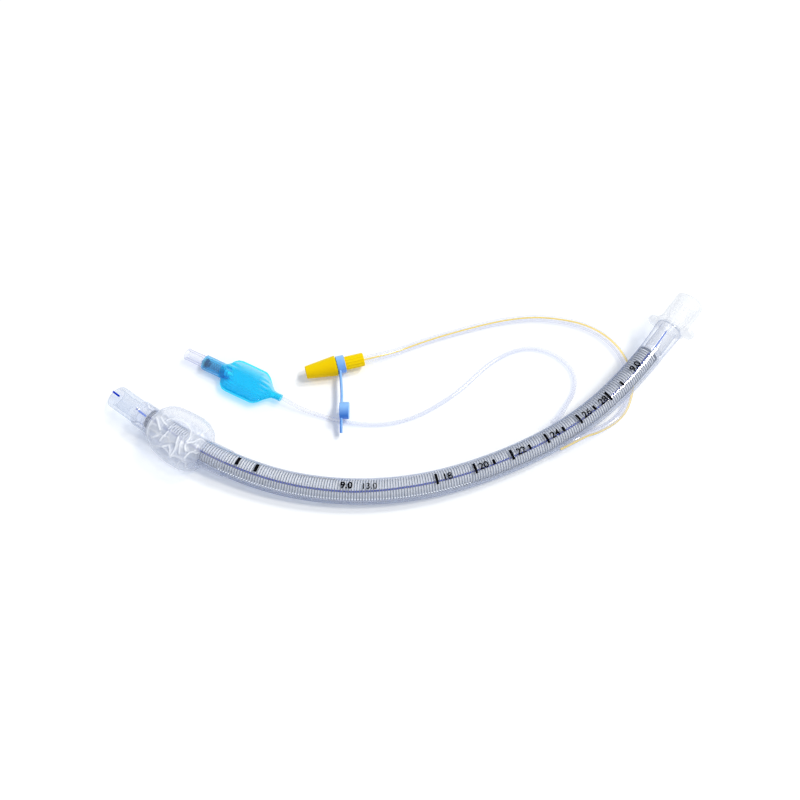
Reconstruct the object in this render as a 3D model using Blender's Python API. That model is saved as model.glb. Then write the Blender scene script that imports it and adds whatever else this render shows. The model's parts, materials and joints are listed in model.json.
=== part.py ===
"""A cuffed, wire-reinforced endotracheal tube with a suction line above its cuff.

Metres, +Z up. The tube lies on its side on a table at z = 0, its bevelled tip towards -X and its
connector towards +X. Places along the shaft are distances from the tip, measured along its middle.
"""

import math

import bmesh
import bpy
import numpy as np
from mathutils import Matrix, Vector

MM = 0.001
UP = Vector((0, 0, 1))

# Clearances between pieces that seat on each other, and between the coil and the walls beside it
SEAT_GAP = 0.3 * MM
COIL_GAP = 0.1 * MM

# Shaft section, from the bore outwards. The jacket is thick on the outer side of the bend.
BORE = 9.0 * MM
LINER_WALL = 0.2 * MM
WIRE_RADIUS = 0.25 * MM
COIL_PITCH = 1.366 * MM
COIL_CORNERS = 7
THIN_WALL = 0.27 * MM
THICK_WALL = 0.87 * MM
SHAFT_SIDES = 16
LINER_SIDES = 12

# Corners round turned pieces: larger ones, and small ones inside
TURNED_SIDES = 24
SMALL_SIDES = 16

# Lengths along the shaft
TIP_LENGTH = 19.2 * MM
PLAIN_FRONT = 8.5 * MM
COIL_LENGTH = 290.5 * MM
PLAIN_END = 17.5 * MM

# Tip
BEVEL_LENGTH = 11.2 * MM
TIP_STEP = 0.3 * MM
LIP_ROUND = 0.6 * MM
SIDE_EYE_AT = 15.4 * MM
SIDE_EYE_LENGTH = 5.6 * MM
SIDE_EYE_WIDTH = 4.4 * MM

# Cuff
CUFF_FILM = 0.35 * MM
CUFF_START = 1.5 * MM
FRONT_COLLAR = 9.5 * MM
CUFF_BODY = 33.0 * MM
REAR_COLLAR = 12.5 * MM
CUFF_RADIUS = 14.6 * MM
CUFF_HEIGHT_SHARE = 0.8
CUFF_SHAPE = 3.0
CUFF_PLEATS = 7
PLEAT_DEPTH = 1.0 * MM
CUFF_SIDES = 28
CUFF_RINGS = 9

# Suction channel in the thick wall, with an eye behind the cuff
CHANNEL_WALL = 0.2 * MM
CHANNEL_WIDTH = 1.4 * MM
EYE_SETBACK = 0.5 * MM
EYE_LENGTH = 3.4 * MM
CHANNEL_LENGTH = 181.0 * MM

# Flared end and the connector pushed into it
STEM_STRETCH = 0.4 * MM
STEM_LENGTH = 14.5 * MM
STEM_WALL = 1.0 * MM
FLARE = 0.8 * MM
FLANGE_RADIUS = 8.6 * MM
FLANGE_THICKNESS = 2.4 * MM
EAR_SPAN = 30.0 * MM
EAR_WIDTH = 9.0 * MM
EAR_ROLL = math.radians(25)
CONE_LENGTH = 15.8 * MM
CONE_BASE = 15.6 * MM
CONE_RIM = 15.2 * MM
CONE_WALL = 1.35 * MM
CONNECTOR_SIDES = 28
EAR_STEPS = 8

# How the shaft lies: its start, its heading on the table at even distances, and its height
SHAFT_START = (-154.68 * MM, 4.67 * MM)
HEADING_STEP = 40 * MM
HEADINGS = [-36.7, -32.7, -22.8, -8.7, 5.2, 18.4, 27.6, 40.4, 49.7, 51.4]
KNOT_STEP = 10 * MM
PATH_LENGTH = 460 * MM
CUFF_LIFT = 2.0 * MM
CUFF_LIFT_ENDS = 118 * MM
CUFF_LIFT_RUN = 70 * MM
END_LIFT = 12.6 * MM
END_LIFT_STARTS = 215 * MM
END_LIFT_RUN = 139.5 * MM

# Pilot balloon and its check valve, on one straight axis
VALVE_START = (-66.0 * MM, 2.6 * MM, 4.4 * MM)
VALVE_HEADING = math.radians(153)
POUCH_LENGTH = 35.7 * MM
POUCH_HALF_WIDTH = 9.0 * MM
POUCH_HALF_DEPTH = 3.7 * MM
POUCH_WALL = 0.4 * MM
POUCH_SEAM = 0.6 * MM
SEAM_WIDTH = 0.9 * MM
LINE_NECK = 5.0 * MM
VALVE_NECK = 1.6 * MM
NECK_WALL = 0.5 * MM
# The pouch's width and depth as shares of the full ones, at distances from the neck at each end
POUCH_FRONT = [(3.75 * MM, 0.55, 0.6), (7.5 * MM, 0.92, 0.85), (11.5 * MM, 1.0, 1.0)]
POUCH_REAR = [(4.1 * MM, 1.0, 1.0), (1.4 * MM, 0.9, 1.05)]
HOUSING_RADIUS = 4.1 * MM
HOUSING_LENGTH = 11.4 * MM
HOUSING_WALL = 1.1 * MM
SPIGOT_LENGTH = 4.0 * MM
VALVE_SHOULDER = 1.7 * MM
AIR_HOLE = 1.0 * MM
INLET_LENGTH = 10.2 * MM
INLET_BASE = 3.25 * MM
INLET_RIM = 2.95 * MM
INLET_BORE = 2.15 * MM
INLET_THROAT = 1.95 * MM
INLET_SPIGOT = 0.8 * MM
SEAL_THICKNESS = 0.6 * MM
SEAL_HOLE = 1.5 * MM
DISC_THICKNESS = 0.8 * MM
PLUNGER_STEM = 0.9 * MM
STEM_REACH = 3.0 * MM
BOSS_LENGTH = 1.5 * MM
SPRING_RADIUS = 2.0 * MM
SPRING_WIRE = 0.4 * MM
SPRING_TURNS = 7

# Suction connector, its ring, strap, cap and pull tab
FUNNEL_START = (-53.55 * MM, 16.95 * MM, 5.65 * MM)
FUNNEL_HEADING = math.radians(14.8)
FUNNEL_LENGTH = 16.4 * MM
FUNNEL_TIP = 3.4 * MM
FUNNEL_RADIUS = 5.45 * MM
FUNNEL_SHOULDER = 0.6 * MM
FUNNEL_BORE = 1.8 * MM
RING_LENGTH = 4.4 * MM
RING_RADIUS = 4.8 * MM
RING_WALL = 0.7 * MM
GRIP_LENGTH = 10.0 * MM
GRIP_RADIUS = 3.4 * MM
GRIP_RIB = 0.25 * MM
GRIP_RIBS = 12
LINE_SOCKET = 8.0 * MM
STRAP_THICKNESS = 1.4 * MM
STRAP_WIDTH = 3.0 * MM
STRAP_ROUTE = [
    (-35.35, 17.2, 5.8), (-35.0, 13.6, 6.0), (-34.6, 9.4, 6.2), (-34.2, 3.6, 6.5), (-34.1, -1.9, 6.8),
]
CAP_START = (-35.0 * MM, -5.8 * MM, 6.9 * MM)
CAP_LENGTH = 5.0 * MM
CAP_RADIUS = 4.5 * MM
CAP_DEPTH = 3.8 * MM
CAP_BORE = 3.45 * MM
TAB_ROUTE = [(-34.1, -9.5, 6.4), (-34.1, -13.4, 5.0), (-34.1, -17.0, 3.6)]

# The two lines, each with its route in millimetres
INFLATION_DIAMETER = 2.2 * MM
INFLATION_ROUTE = [
    (76.0, -11.3, 7.2), (79.1, -7.9, 5.2), (82.6, -1.6, 2.8), (87.0, 6.2, 1.4), (88.8, 13.6, 1.2),
    (87.7, 20.5, 1.2), (82.9, 27.0, 1.2), (75.6, 31.9, 1.2), (65.1, 33.9, 1.2), (54.2, 30.8, 1.2),
    (45.4, 25.4, 1.2), (36.5, 17.3, 1.2), (27.8, 8.8, 1.2), (17.3, 0.9, 1.2), (6.0, -5.8, 1.2),
    (-6.1, -9.9, 1.2), (-15.3, -11.1, 1.2), (-24.7, -10.8, 1.2), (-35.1, -9.1, 1.2), (-45.6, -6.0, 1.5),
    (-56.2, -2.4, 3.1), (-62.4, 0.8, 4.2), (-69.1, 4.2, 4.4),
]
SUCTION_DIAMETER = 3.6 * MM
SUCTION_ROUTE = [
    (-29.9, 23.2, 5.65), (-21.4, 25.5, 5.4), (-13.7, 28.0, 4.4), (-6.2, 30.9, 3.1), (2.6, 34.9, 2.2),
    (13.1, 39.1, 1.9), (32.6, 45.4, 1.9), (52.4, 50.5, 1.9), (70.0, 52.4, 1.9), (83.6, 51.1, 1.9),
    (96.0, 47.6, 1.9), (105.2, 42.1, 1.9), (112.3, 34.3, 1.9), (116.7, 25.0, 1.9), (118.6, 14.5, 1.9),
    (116.4, 4.4, 1.9), (113.0, -3.1, 1.9), (107.2, -9.3, 1.9), (100.7, -13.6, 2.5), (95.0, -17.4, 4.3),
    (91.3, -20.9, 6.2), (87.7, -23.6, 7.3),
]
CORD_SPACING = 2.6

# Worked out from the sizes above
LINER_RADIUS = BORE / 2 + LINER_WALL
COIL_RADIUS = (LINER_RADIUS + COIL_GAP + WIRE_RADIUS / 2) / math.cos(math.pi / COIL_CORNERS)
CHAMBER_RADIUS = (COIL_RADIUS + WIRE_RADIUS) / math.cos(math.pi / SHAFT_SIDES) + COIL_GAP
SHAFT_RADIUS = CHAMBER_RADIUS + (THIN_WALL + THICK_WALL) / 2
BORE_SHIFT = (THICK_WALL - THIN_WALL) / 2
STEM_RADIUS = BORE / 2 + STEM_STRETCH
JACKET_START = TIP_LENGTH + SEAT_GAP
COIL_START = JACKET_START + PLAIN_FRONT
COIL_END = COIL_START + COIL_LENGTH
JACKET_END = COIL_END + PLAIN_END
COLLAR_START = JACKET_START + CUFF_START
BODY_START = COLLAR_START + FRONT_COLLAR
BODY_END = BODY_START + CUFF_BODY
CUFF_END = BODY_END + REAR_COLLAR
EYE_START = CUFF_END + EYE_SETBACK


def clear_scene():
    for found in list(bpy.data.objects):
        bpy.data.objects.remove(found, do_unlink=True)


def material(name, colour, roughness, metallic=0.0, transmission=0.0):
    """A Principled material of one colour."""
    made = bpy.data.materials.new(name)
    made.use_nodes = True
    shader = made.node_tree.nodes["Principled BSDF"]
    shader.inputs["Base Color"].default_value = (*colour, 1)
    shader.inputs["Roughness"].default_value = roughness
    shader.inputs["Metallic"].default_value = metallic
    shader.inputs["Transmission Weight"].default_value = transmission
    made.diffuse_color = (*colour, 1)
    return made


def natural_spline(knots, values, at):
    """The natural cubic spline through values at knots, read at each of the places in at."""
    knots, values, at = (np.asarray(given, float) for given in (knots, values, at))
    gaps = np.diff(knots)
    count = len(knots)
    rows = np.eye(count)
    bends = np.zeros(count)
    for i in range(1, count - 1):
        rows[i, i - 1 : i + 2] = gaps[i - 1], 2 * (gaps[i - 1] + gaps[i]), gaps[i]
        slope_after = (values[i + 1] - values[i]) / gaps[i]
        bends[i] = 6 * (slope_after - (values[i] - values[i - 1]) / gaps[i - 1])
    second = np.linalg.solve(rows, bends)
    run = np.clip(np.searchsorted(knots, at, side="right") - 1, 0, count - 2)
    b = (at - knots[run]) / gaps[run]
    a = 1 - b
    curved = (a**3 - a) * second[run] + (b**3 - b) * second[run + 1]
    return a * values[run] + b * values[run + 1] + curved * gaps[run] ** 2 / 6


class Centreline:
    """The middle of the shaft, in straight runs between knots, with the directions across it at each."""

    def __init__(self):
        fine = np.arange(0, PATH_LENGTH, MM / 2)
        last = HEADING_STEP * (len(HEADINGS) - 1)
        knots = HEADING_STEP * np.arange(len(HEADINGS))
        heading = np.radians(natural_spline(knots, HEADINGS, np.minimum(fine, last)))
        z = self.height(fine)
        climb = np.gradient(z, fine)
        level = np.sqrt(1 - climb**2)
        path = np.stack([np.cos(heading) * level, np.sin(heading) * level, climb], axis=1)
        between = (path[1:] + path[:-1]) / 2 * (fine[1] - fine[0])
        points = np.concatenate([[[0, 0, 0]], np.cumsum(between, axis=0)])
        points += [SHAFT_START[0], SHAFT_START[1], 0]
        points[:, 2] = z
        self.knots = np.arange(0, PATH_LENGTH - KNOT_STEP, KNOT_STEP)
        self.points = self.pick(fine, points)
        self.tangents = self.pick(fine, path)

    def height(self, along):
        """The middle's height: its flat side lies on the table, and both ends rise from it."""
        rise = np.clip((CUFF_LIFT_ENDS - along) / CUFF_LIFT_RUN, 0, 1)
        end = np.clip((along - END_LIFT_STARTS) / END_LIFT_RUN, 0, None)
        flat = SHAFT_RADIUS * math.cos(math.pi / SHAFT_SIDES)
        return flat + CUFF_LIFT * rise**2 * (3 - 2 * rise) + END_LIFT * end**2

    def pick(self, fine, values):
        return np.stack([np.interp(self.knots, fine, values[:, i]) for i in range(3)], axis=1)

    def read(self, table, along):
        return Vector([float(np.interp(along, self.knots, table[:, i])) for i in range(3)])

    def frame(self, along):
        """The point, the direction along, the direction to the thick side, and the direction up."""
        tangent = self.read(self.tangents, along).normalized()
        side = tangent.cross(UP).normalized()
        return self.read(self.points, along), tangent, side, side.cross(tangent)

    def stations(self, start, end):
        """start, the knots between, and end, so that walls beside each other share their corners."""
        margin = KNOT_STEP / 5
        inner = [float(k) for k in self.knots if start + margin < k < end - margin]
        return [start, *inner, end]


CENTRE = Centreline()


def ring_angles(sides):
    """Angles of a ring's corners. A flat faces each of the four directions across the shaft."""
    return [2 * math.pi * (i + 0.5) / sides for i in range(sides)]


def shaft_ring(along, radius, sides, shift=0.0):
    """A ring across the shaft. shift moves it towards the thin side of the wall."""
    point, _, side, up = CENTRE.frame(along)
    middle = point - side * shift
    return [middle + (side * math.cos(a) + up * math.sin(a)) * radius for a in ring_angles(sides)]


def new_object(name, mesh_data, look):
    made = bpy.data.objects.new(name, mesh_data)
    bpy.context.scene.collection.objects.link(made)
    if look is not None:
        made.data.materials.append(look)
    return made


def finished(name, shape, look, smooth=40):
    """Turns the bmesh into an object whose faces point outwards."""
    bmesh.ops.remove_doubles(shape, verts=shape.verts, dist=MM / 1000)
    bmesh.ops.recalc_face_normals(shape, faces=shape.faces)
    data = bpy.data.meshes.new(name)
    shape.to_mesh(data)
    shape.free()
    data.shade_smooth()
    data.set_sharp_from_angle(angle=math.radians(smooth))
    return new_object(name, data, look)


def loft(name, rings, look, looped=False):
    """Bridges each ring of points to the next. looped joins the last to the first, as in a tube's wall."""
    shape = bmesh.new()
    loops = [[shape.verts.new(point) for point in ring] for ring in rings]
    following = loops[1:] + loops[:1] if looped else loops[1:]
    for near, far in zip(loops, following):
        for i in range(len(near)):
            shape.faces.new((near[i - 1], near[i], far[i], far[i - 1]))
    if not looped:
        shape.faces.new(loops[0])
        shape.faces.new(reversed(loops[-1]))
    return finished(name, shape, look)


def turned(name, profile, sides, look):
    """A closed profile of (along, radius) spun about the object's own Z axis."""
    shape = bmesh.new()
    corners = [shape.verts.new((radius, 0, along)) for along, radius in profile]
    edges = [shape.edges.new((corners[i - 1], corners[i])) for i in range(len(corners))]
    bmesh.ops.spin(
        shape, geom=corners + edges, cent=(0, 0, 0), axis=(0, 0, 1), angle=2 * math.pi, steps=sides
    )
    return finished(name, shape, look)


def box(name, low, high, look=None):
    shape = bmesh.new()
    bmesh.ops.create_cube(shape, size=1)
    size = Vector(high) - Vector(low)
    bmesh.ops.scale(shape, vec=size, verts=shape.verts)
    bmesh.ops.translate(shape, vec=(Vector(low) + Vector(high)) / 2, verts=shape.verts)
    return finished(name, shape, look)


def axes_matrix(origin, along, side):
    """Places an object at origin with its Z axis along and its X axis to side."""
    rows = Matrix((side, along.cross(side), along)).transposed()
    return Matrix.Translation(origin) @ rows.to_4x4()


def combine(target, tool, operation):
    """A Boolean with a hidden tool that stays in the file as a wire."""
    step = target.modifiers.new(operation.lower() + "_" + tool.name, "BOOLEAN")
    step.operation = operation
    step.solver = "EXACT"
    step.object = tool
    tool.hide_render = True
    tool.display_type = "WIRE"


def smooth_route(route, diameter):
    """Points read from a smooth curve through the route, evenly spaced at a few diameters."""
    given = np.array(route) * MM
    along = np.concatenate([[0], np.cumsum(np.linalg.norm(np.diff(given, axis=0), axis=1))])
    count = round(along[-1] / (CORD_SPACING * diameter)) + 1
    at = np.linspace(0, along[-1], count)
    return np.stack([natural_spline(along, given[:, i], at) for i in range(3)], axis=1)


def cord(name, route, diameter, look):
    """A line laid along its route: a poly spline with a round bevel and closed ends."""
    curve = bpy.data.curves.new(name, "CURVE")
    curve.dimensions = "3D"
    curve.bevel_depth = diameter / 2
    curve.bevel_resolution = 2
    curve.use_fill_caps = True
    points = smooth_route(route, diameter)
    spline = curve.splines.new("POLY")
    spline.points.add(len(points) - 1)
    for spot, place in zip(spline.points, points):
        spot.co = (*place, 1)
    return new_object(name, curve, look)


def bevel_tip(look):
    """The soft tip: a slanted opening whose long lip lies underneath, and an eye in the wall there."""
    outer = SHAFT_RADIUS - TIP_STEP
    bore = BORE / 2

    def slanted(radius, share, setback):
        """A ring that lies in the bevel's plane at share 0 and square across the tip at share 1."""
        ring = []
        for a in ring_angles(SHAFT_SIDES):
            slant = BEVEL_LENGTH * (1 + radius * math.sin(a) / outer) / 2 + setback
            point, _, side, up = CENTRE.frame(slant + (TIP_LENGTH - slant) * share)
            ring.append(point + (side * math.cos(a) + up * math.sin(a)) * radius)
        return ring

    rings = [
        slanted(outer - LIP_ROUND, 0, 0),
        slanted(outer, 0, LIP_ROUND),
        slanted(outer, 0.5, 0),
        slanted(outer, 1, 0),
        slanted(bore, 1, 0),
        slanted(bore, 0.5, 0),
        slanted(bore, 0, 0),
    ]
    tip = loft("bevel_tip", rings, look, looped=True)
    point, tangent, side, up = CENTRE.frame(SIDE_EYE_AT)
    drill = [(0, 0), (outer * 2, 0), (outer * 2, 0.5), (0, 0.5)]
    eye = turned("side_eye_cutter", drill, SMALL_SIDES, None)
    eye.matrix_world = (
        axes_matrix(point, -up, tangent) @ Matrix.Diagonal((SIDE_EYE_LENGTH, SIDE_EYE_WIDTH, 1, 1))
    )
    combine(tip, eye, "DIFFERENCE")


def shaft_liner(look):
    """The inner tube, which the coil is wound on."""
    start, end = COIL_START + SEAT_GAP, COIL_END - SEAT_GAP
    runs = CENTRE.stations(start, end)
    outside = [shaft_ring(along, LINER_RADIUS, LINER_SIDES, BORE_SHIFT) for along in runs]
    inside = [shaft_ring(along, BORE / 2, LINER_SIDES, BORE_SHIFT) for along in reversed(runs)]
    loft("shaft_liner", outside + inside, look, looped=True)


def reinforcing_wire(look):
    """One wire wound on the liner in straight-sided turns. The turn at each end is wound closed."""
    wire_width = WIRE_RADIUS * math.sqrt(3)
    closed = wire_width + COIL_GAP
    room = COIL_LENGTH - 2 * SEAT_GAP - wire_width
    open_turns = round((room - 2 * closed) / COIL_PITCH)
    pitch = (room - 2 * closed) / open_turns
    start = COIL_START + SEAT_GAP + wire_width / 2
    rings = []
    for corner in range((open_turns + 2) * COIL_CORNERS + 1):
        turn = corner / COIL_CORNERS
        middle = min(max(turn - 1, 0), open_turns)
        along = start + pitch * middle + closed * (turn - middle)
        point, tangent, side, up = CENTRE.frame(along)
        angle = 2 * math.pi * turn
        outwards = side * math.cos(angle) + up * math.sin(angle)
        centre = point - side * BORE_SHIFT + outwards * COIL_RADIUS
        rings.append([
            centre + outwards * WIRE_RADIUS,
            centre - outwards * WIRE_RADIUS / 2 + tangent * wire_width / 2,
            centre - outwards * WIRE_RADIUS / 2 - tangent * wire_width / 2,
        ])
    loft("reinforcing_wire", rings, look)


def channel_ring(along):
    """The suction channel's four corners, in the middle of the thick wall."""
    point, _, side, up = CENTRE.frame(along)
    flat = math.cos(math.pi / SHAFT_SIDES)
    inner = CHAMBER_RADIUS * flat - BORE_SHIFT + CHANNEL_WALL
    outer = SHAFT_RADIUS * flat - CHANNEL_WALL
    half = CHANNEL_WIDTH / 2
    corners = [(inner, -half), (outer, -half), (outer, half), (inner, half)]
    return [point + side * across + up * rise for across, rise in corners]


def channel_mouth(name, start):
    """A window from outside the thick wall down into the channel."""
    point, tangent, side, _ = CENTRE.frame(start + EYE_LENGTH / 2)
    half = Vector((EYE_LENGTH, CHANNEL_WIDTH)) / 2
    inner = SHAFT_RADIUS - THICK_WALL / 2
    cutter = box(name, (-half.x, -half.y, inner), (half.x, half.y, SHAFT_RADIUS * 1.2))
    cutter.matrix_world = axes_matrix(point, side, tangent)
    return cutter


def shaft_jacket(look):
    """The outer tube: a chamber round the coil, a shoulder past each end of it, and a flared end."""
    shoulder = SEAT_GAP
    stem_start = JACKET_END - STEM_LENGTH - SEAT_GAP
    socket = STEM_RADIUS + SEAT_GAP
    bore = BORE / 2
    outside = [
        shaft_ring(along, SHAFT_RADIUS, SHAFT_SIDES) for along in CENTRE.stations(JACKET_START, COIL_END)
    ]
    outside.append(shaft_ring(JACKET_END, SHAFT_RADIUS + FLARE, SHAFT_SIDES))
    inside = [
        shaft_ring(JACKET_END, socket, SHAFT_SIDES),
        shaft_ring(stem_start, socket, SHAFT_SIDES),
        shaft_ring(stem_start - shoulder, bore, SHAFT_SIDES, BORE_SHIFT),
        shaft_ring(COIL_END, bore, SHAFT_SIDES, BORE_SHIFT),
    ]
    chamber = CENTRE.stations(COIL_START, COIL_END)
    for along in reversed(chamber):
        inside.append(shaft_ring(along, CHAMBER_RADIUS, SHAFT_SIDES, BORE_SHIFT))
    inside.append(shaft_ring(COIL_START, bore, SHAFT_SIDES, BORE_SHIFT))
    inside.append(shaft_ring(JACKET_START, bore, SHAFT_SIDES))
    jacket = loft("shaft_jacket", outside + inside, look, looped=True)
    channel_end = EYE_START + CHANNEL_LENGTH
    runs = CENTRE.stations(EYE_START, channel_end)
    channel = loft("channel_cutter", [channel_ring(along) for along in runs], None)
    combine(jacket, channel, "DIFFERENCE")
    combine(jacket, channel_mouth("suction_eye_cutter", EYE_START), "DIFFERENCE")
    combine(jacket, channel_mouth("line_entry_cutter", channel_end - EYE_LENGTH), "DIFFERENCE")


def cuff(look):
    """The balloon: a film with a collar at each end, gathered into pleats and flat where it lies."""
    collar = SHAFT_RADIUS + SEAT_GAP + CUFF_FILM
    full_width = CUFF_RADIUS - collar
    full_height = CUFF_RADIUS * CUFF_HEIGHT_SHARE - collar

    def film_ring(along, share, inset):
        """share runs from 0 at a collar to 1 on the balloon's full width."""
        point, _, side, up = CENTRE.frame(along)
        ring = []
        for a in ring_angles(CUFF_SIDES):
            pleat = PLEAT_DEPTH * share * (1 - share) * 4 * math.cos(CUFF_PLEATS * a)
            wide = collar + full_width * share + pleat - inset
            tall = collar + full_height * share + pleat - inset
            spot = point + side * math.cos(a) * wide + up * math.sin(a) * tall
            ring.append(Vector((spot.x, spot.y, max(spot.z, inset))))
        return ring

    places = [(COLLAR_START, 0), (BODY_START, 0)]
    for i in range(1, CUFF_RINGS):
        t = (1 - math.cos(math.pi * i / CUFF_RINGS)) / 2
        swell = (1 - abs(2 * t - 1) ** CUFF_SHAPE) ** (1 / CUFF_SHAPE)
        places.append((BODY_START + CUFF_BODY * t, swell))
    places += [(BODY_END, 0), (CUFF_END, 0)]
    outside = [film_ring(along, share, 0) for along, share in places]
    inside = [film_ring(along, share, CUFF_FILM) for along, share in reversed(places)]
    loft("cuff", outside + inside, look, looped=True)


def ear_outline():
    """Half of the flange's outline: the disc's arc, then one ear with its round end."""
    half = EAR_WIDTH / 2
    reach = EAR_SPAN / 2 - half
    disc_end = math.asin(half / FLANGE_RADIUS)
    ear = [math.pi * (i / EAR_STEPS - 0.5) for i in range(EAR_STEPS + 1)]
    disc = [disc_end + (math.pi - 2 * disc_end) * i / EAR_STEPS for i in range(EAR_STEPS + 1)]
    points = [(reach + half * math.cos(a), half * math.sin(a)) for a in ear]
    return points + [(FLANGE_RADIUS * math.cos(a), FLANGE_RADIUS * math.sin(a)) for a in disc]


def connector_15mm(look):
    """The male cone, its stem inside the tube's end, and a flange with two ears."""
    base = SEAT_GAP + FLANGE_THICKNESS
    rim = base + CONE_LENGTH
    stem_bore = STEM_RADIUS - STEM_WALL
    mouth_bore = CONE_RIM / 2 - CONE_WALL
    edge = CONE_WALL / 4
    stem_end = SEAT_GAP - STEM_LENGTH
    profile = [
        (stem_end, stem_bore), (stem_end, STEM_RADIUS - edge), (stem_end + 2 * edge, STEM_RADIUS),
        (SEAT_GAP + FLANGE_THICKNESS / 3, STEM_RADIUS), (SEAT_GAP + FLANGE_THICKNESS / 3, CONE_BASE / 2),
        (rim - edge, CONE_RIM / 2), (rim, CONE_RIM / 2 - edge), (rim, mouth_bore),
        (base + CONE_LENGTH / 4, mouth_bore - edge), (base - CONE_LENGTH / 8, stem_bore),
    ]
    cone = turned("connector_15mm", profile, CONNECTOR_SIDES, look)
    half = ear_outline()
    outline = half + [(-x, -y) for x, y in half]
    plate = loft(
        "flange_blank",
        [[Vector((x, y, z)) for x, y in outline] for z in (SEAT_GAP, base)],
        None,
    )
    drill = [(-base, 0), (2 * base, 0), (2 * base, stem_bore + edge), (-base, stem_bore + edge)]
    hole = turned("flange_hole_cutter", drill, CONNECTOR_SIDES, None)
    combine(plate, hole, "DIFFERENCE")
    point = CENTRE.frame(JACKET_END)[0]
    along = (point - CENTRE.frame(JACKET_END - STEM_LENGTH)[0]).normalized()
    side = along.cross(UP).normalized()
    ears = side * math.cos(EAR_ROLL) + side.cross(along) * math.sin(EAR_ROLL)
    for piece in (cone, plate, hole):
        piece.matrix_world = axes_matrix(point, along, ears)
    combine(cone, plate, "UNION")


def straight_axis(name, start, heading):
    """An empty at start whose Z axis runs along heading, level with the table, and whose X axis is up."""
    along = Vector((math.cos(heading), math.sin(heading), 0))
    empty = bpy.data.objects.new(name, None)
    bpy.context.scene.collection.objects.link(empty)
    empty.matrix_world = axes_matrix(Vector(start), along, UP)
    return empty


def on_axis(piece, axis, along=0.0):
    piece.parent = axis
    piece.location = (0, 0, along)


def pouch_ring(along, half_width, half_depth, seam=0.0, fullness=0.5):
    """A pillow's section: full in the middle, and flat where a seam is welded. It is round without a seam."""
    steps = 8
    edge = POUCH_SEAM / 2 if seam else 0.0
    top = []
    for k in range(steps + 1):
        x = half_width * math.cos(math.pi * k / steps)
        full = max(0.0, 1 - (x / (half_width - seam)) ** 2) ** fullness
        top.append((x, edge + full * half_depth))
    upper = [Vector((y, x, along)) for x, y in top]
    lower = [Vector((-y, x, along)) for x, y in reversed(top)]
    return upper + lower


def pilot_balloon(axis, look):
    """The pouch: a blown pillow with a neck for the line at one end and one for the valve at the other."""
    line_bore = INFLATION_DIAMETER / 2 + SEAT_GAP
    line_neck = line_bore + NECK_WALL
    neck_bore = HOUSING_RADIUS - POUCH_WALL
    neck_start = POUCH_LENGTH - VALVE_NECK
    pillow = [(LINE_NECK + away, wide, deep) for away, wide, deep in POUCH_FRONT]
    pillow += [(neck_start - away, wide, deep) for away, wide, deep in POUCH_REAR]
    outside = [pouch_ring(0, line_neck, line_neck), pouch_ring(LINE_NECK, line_neck, line_neck)]
    inside = [pouch_ring(POUCH_LENGTH, neck_bore, neck_bore), pouch_ring(neck_start, neck_bore, neck_bore)]
    for along, wide, deep in pillow:
        half_width, half_depth = POUCH_HALF_WIDTH * wide, POUCH_HALF_DEPTH * deep
        outside.append(pouch_ring(along, half_width, half_depth, SEAM_WIDTH, 0.8))
    for along, wide, deep in reversed(pillow):
        half_width, half_depth = POUCH_HALF_WIDTH * wide, POUCH_HALF_DEPTH * deep
        hollow = half_depth + POUCH_SEAM / 2 - POUCH_WALL
        inside.append(pouch_ring(along, half_width - SEAM_WIDTH, hollow, 0.0, 0.8))
    outside += [
        pouch_ring(neck_start, HOUSING_RADIUS, HOUSING_RADIUS),
        pouch_ring(POUCH_LENGTH, HOUSING_RADIUS, HOUSING_RADIUS),
    ]
    inside += [pouch_ring(LINE_NECK, line_bore, line_bore), pouch_ring(0, line_bore, line_bore)]
    on_axis(loft("pilot_balloon", outside + inside, look, looped=True), axis)


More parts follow.
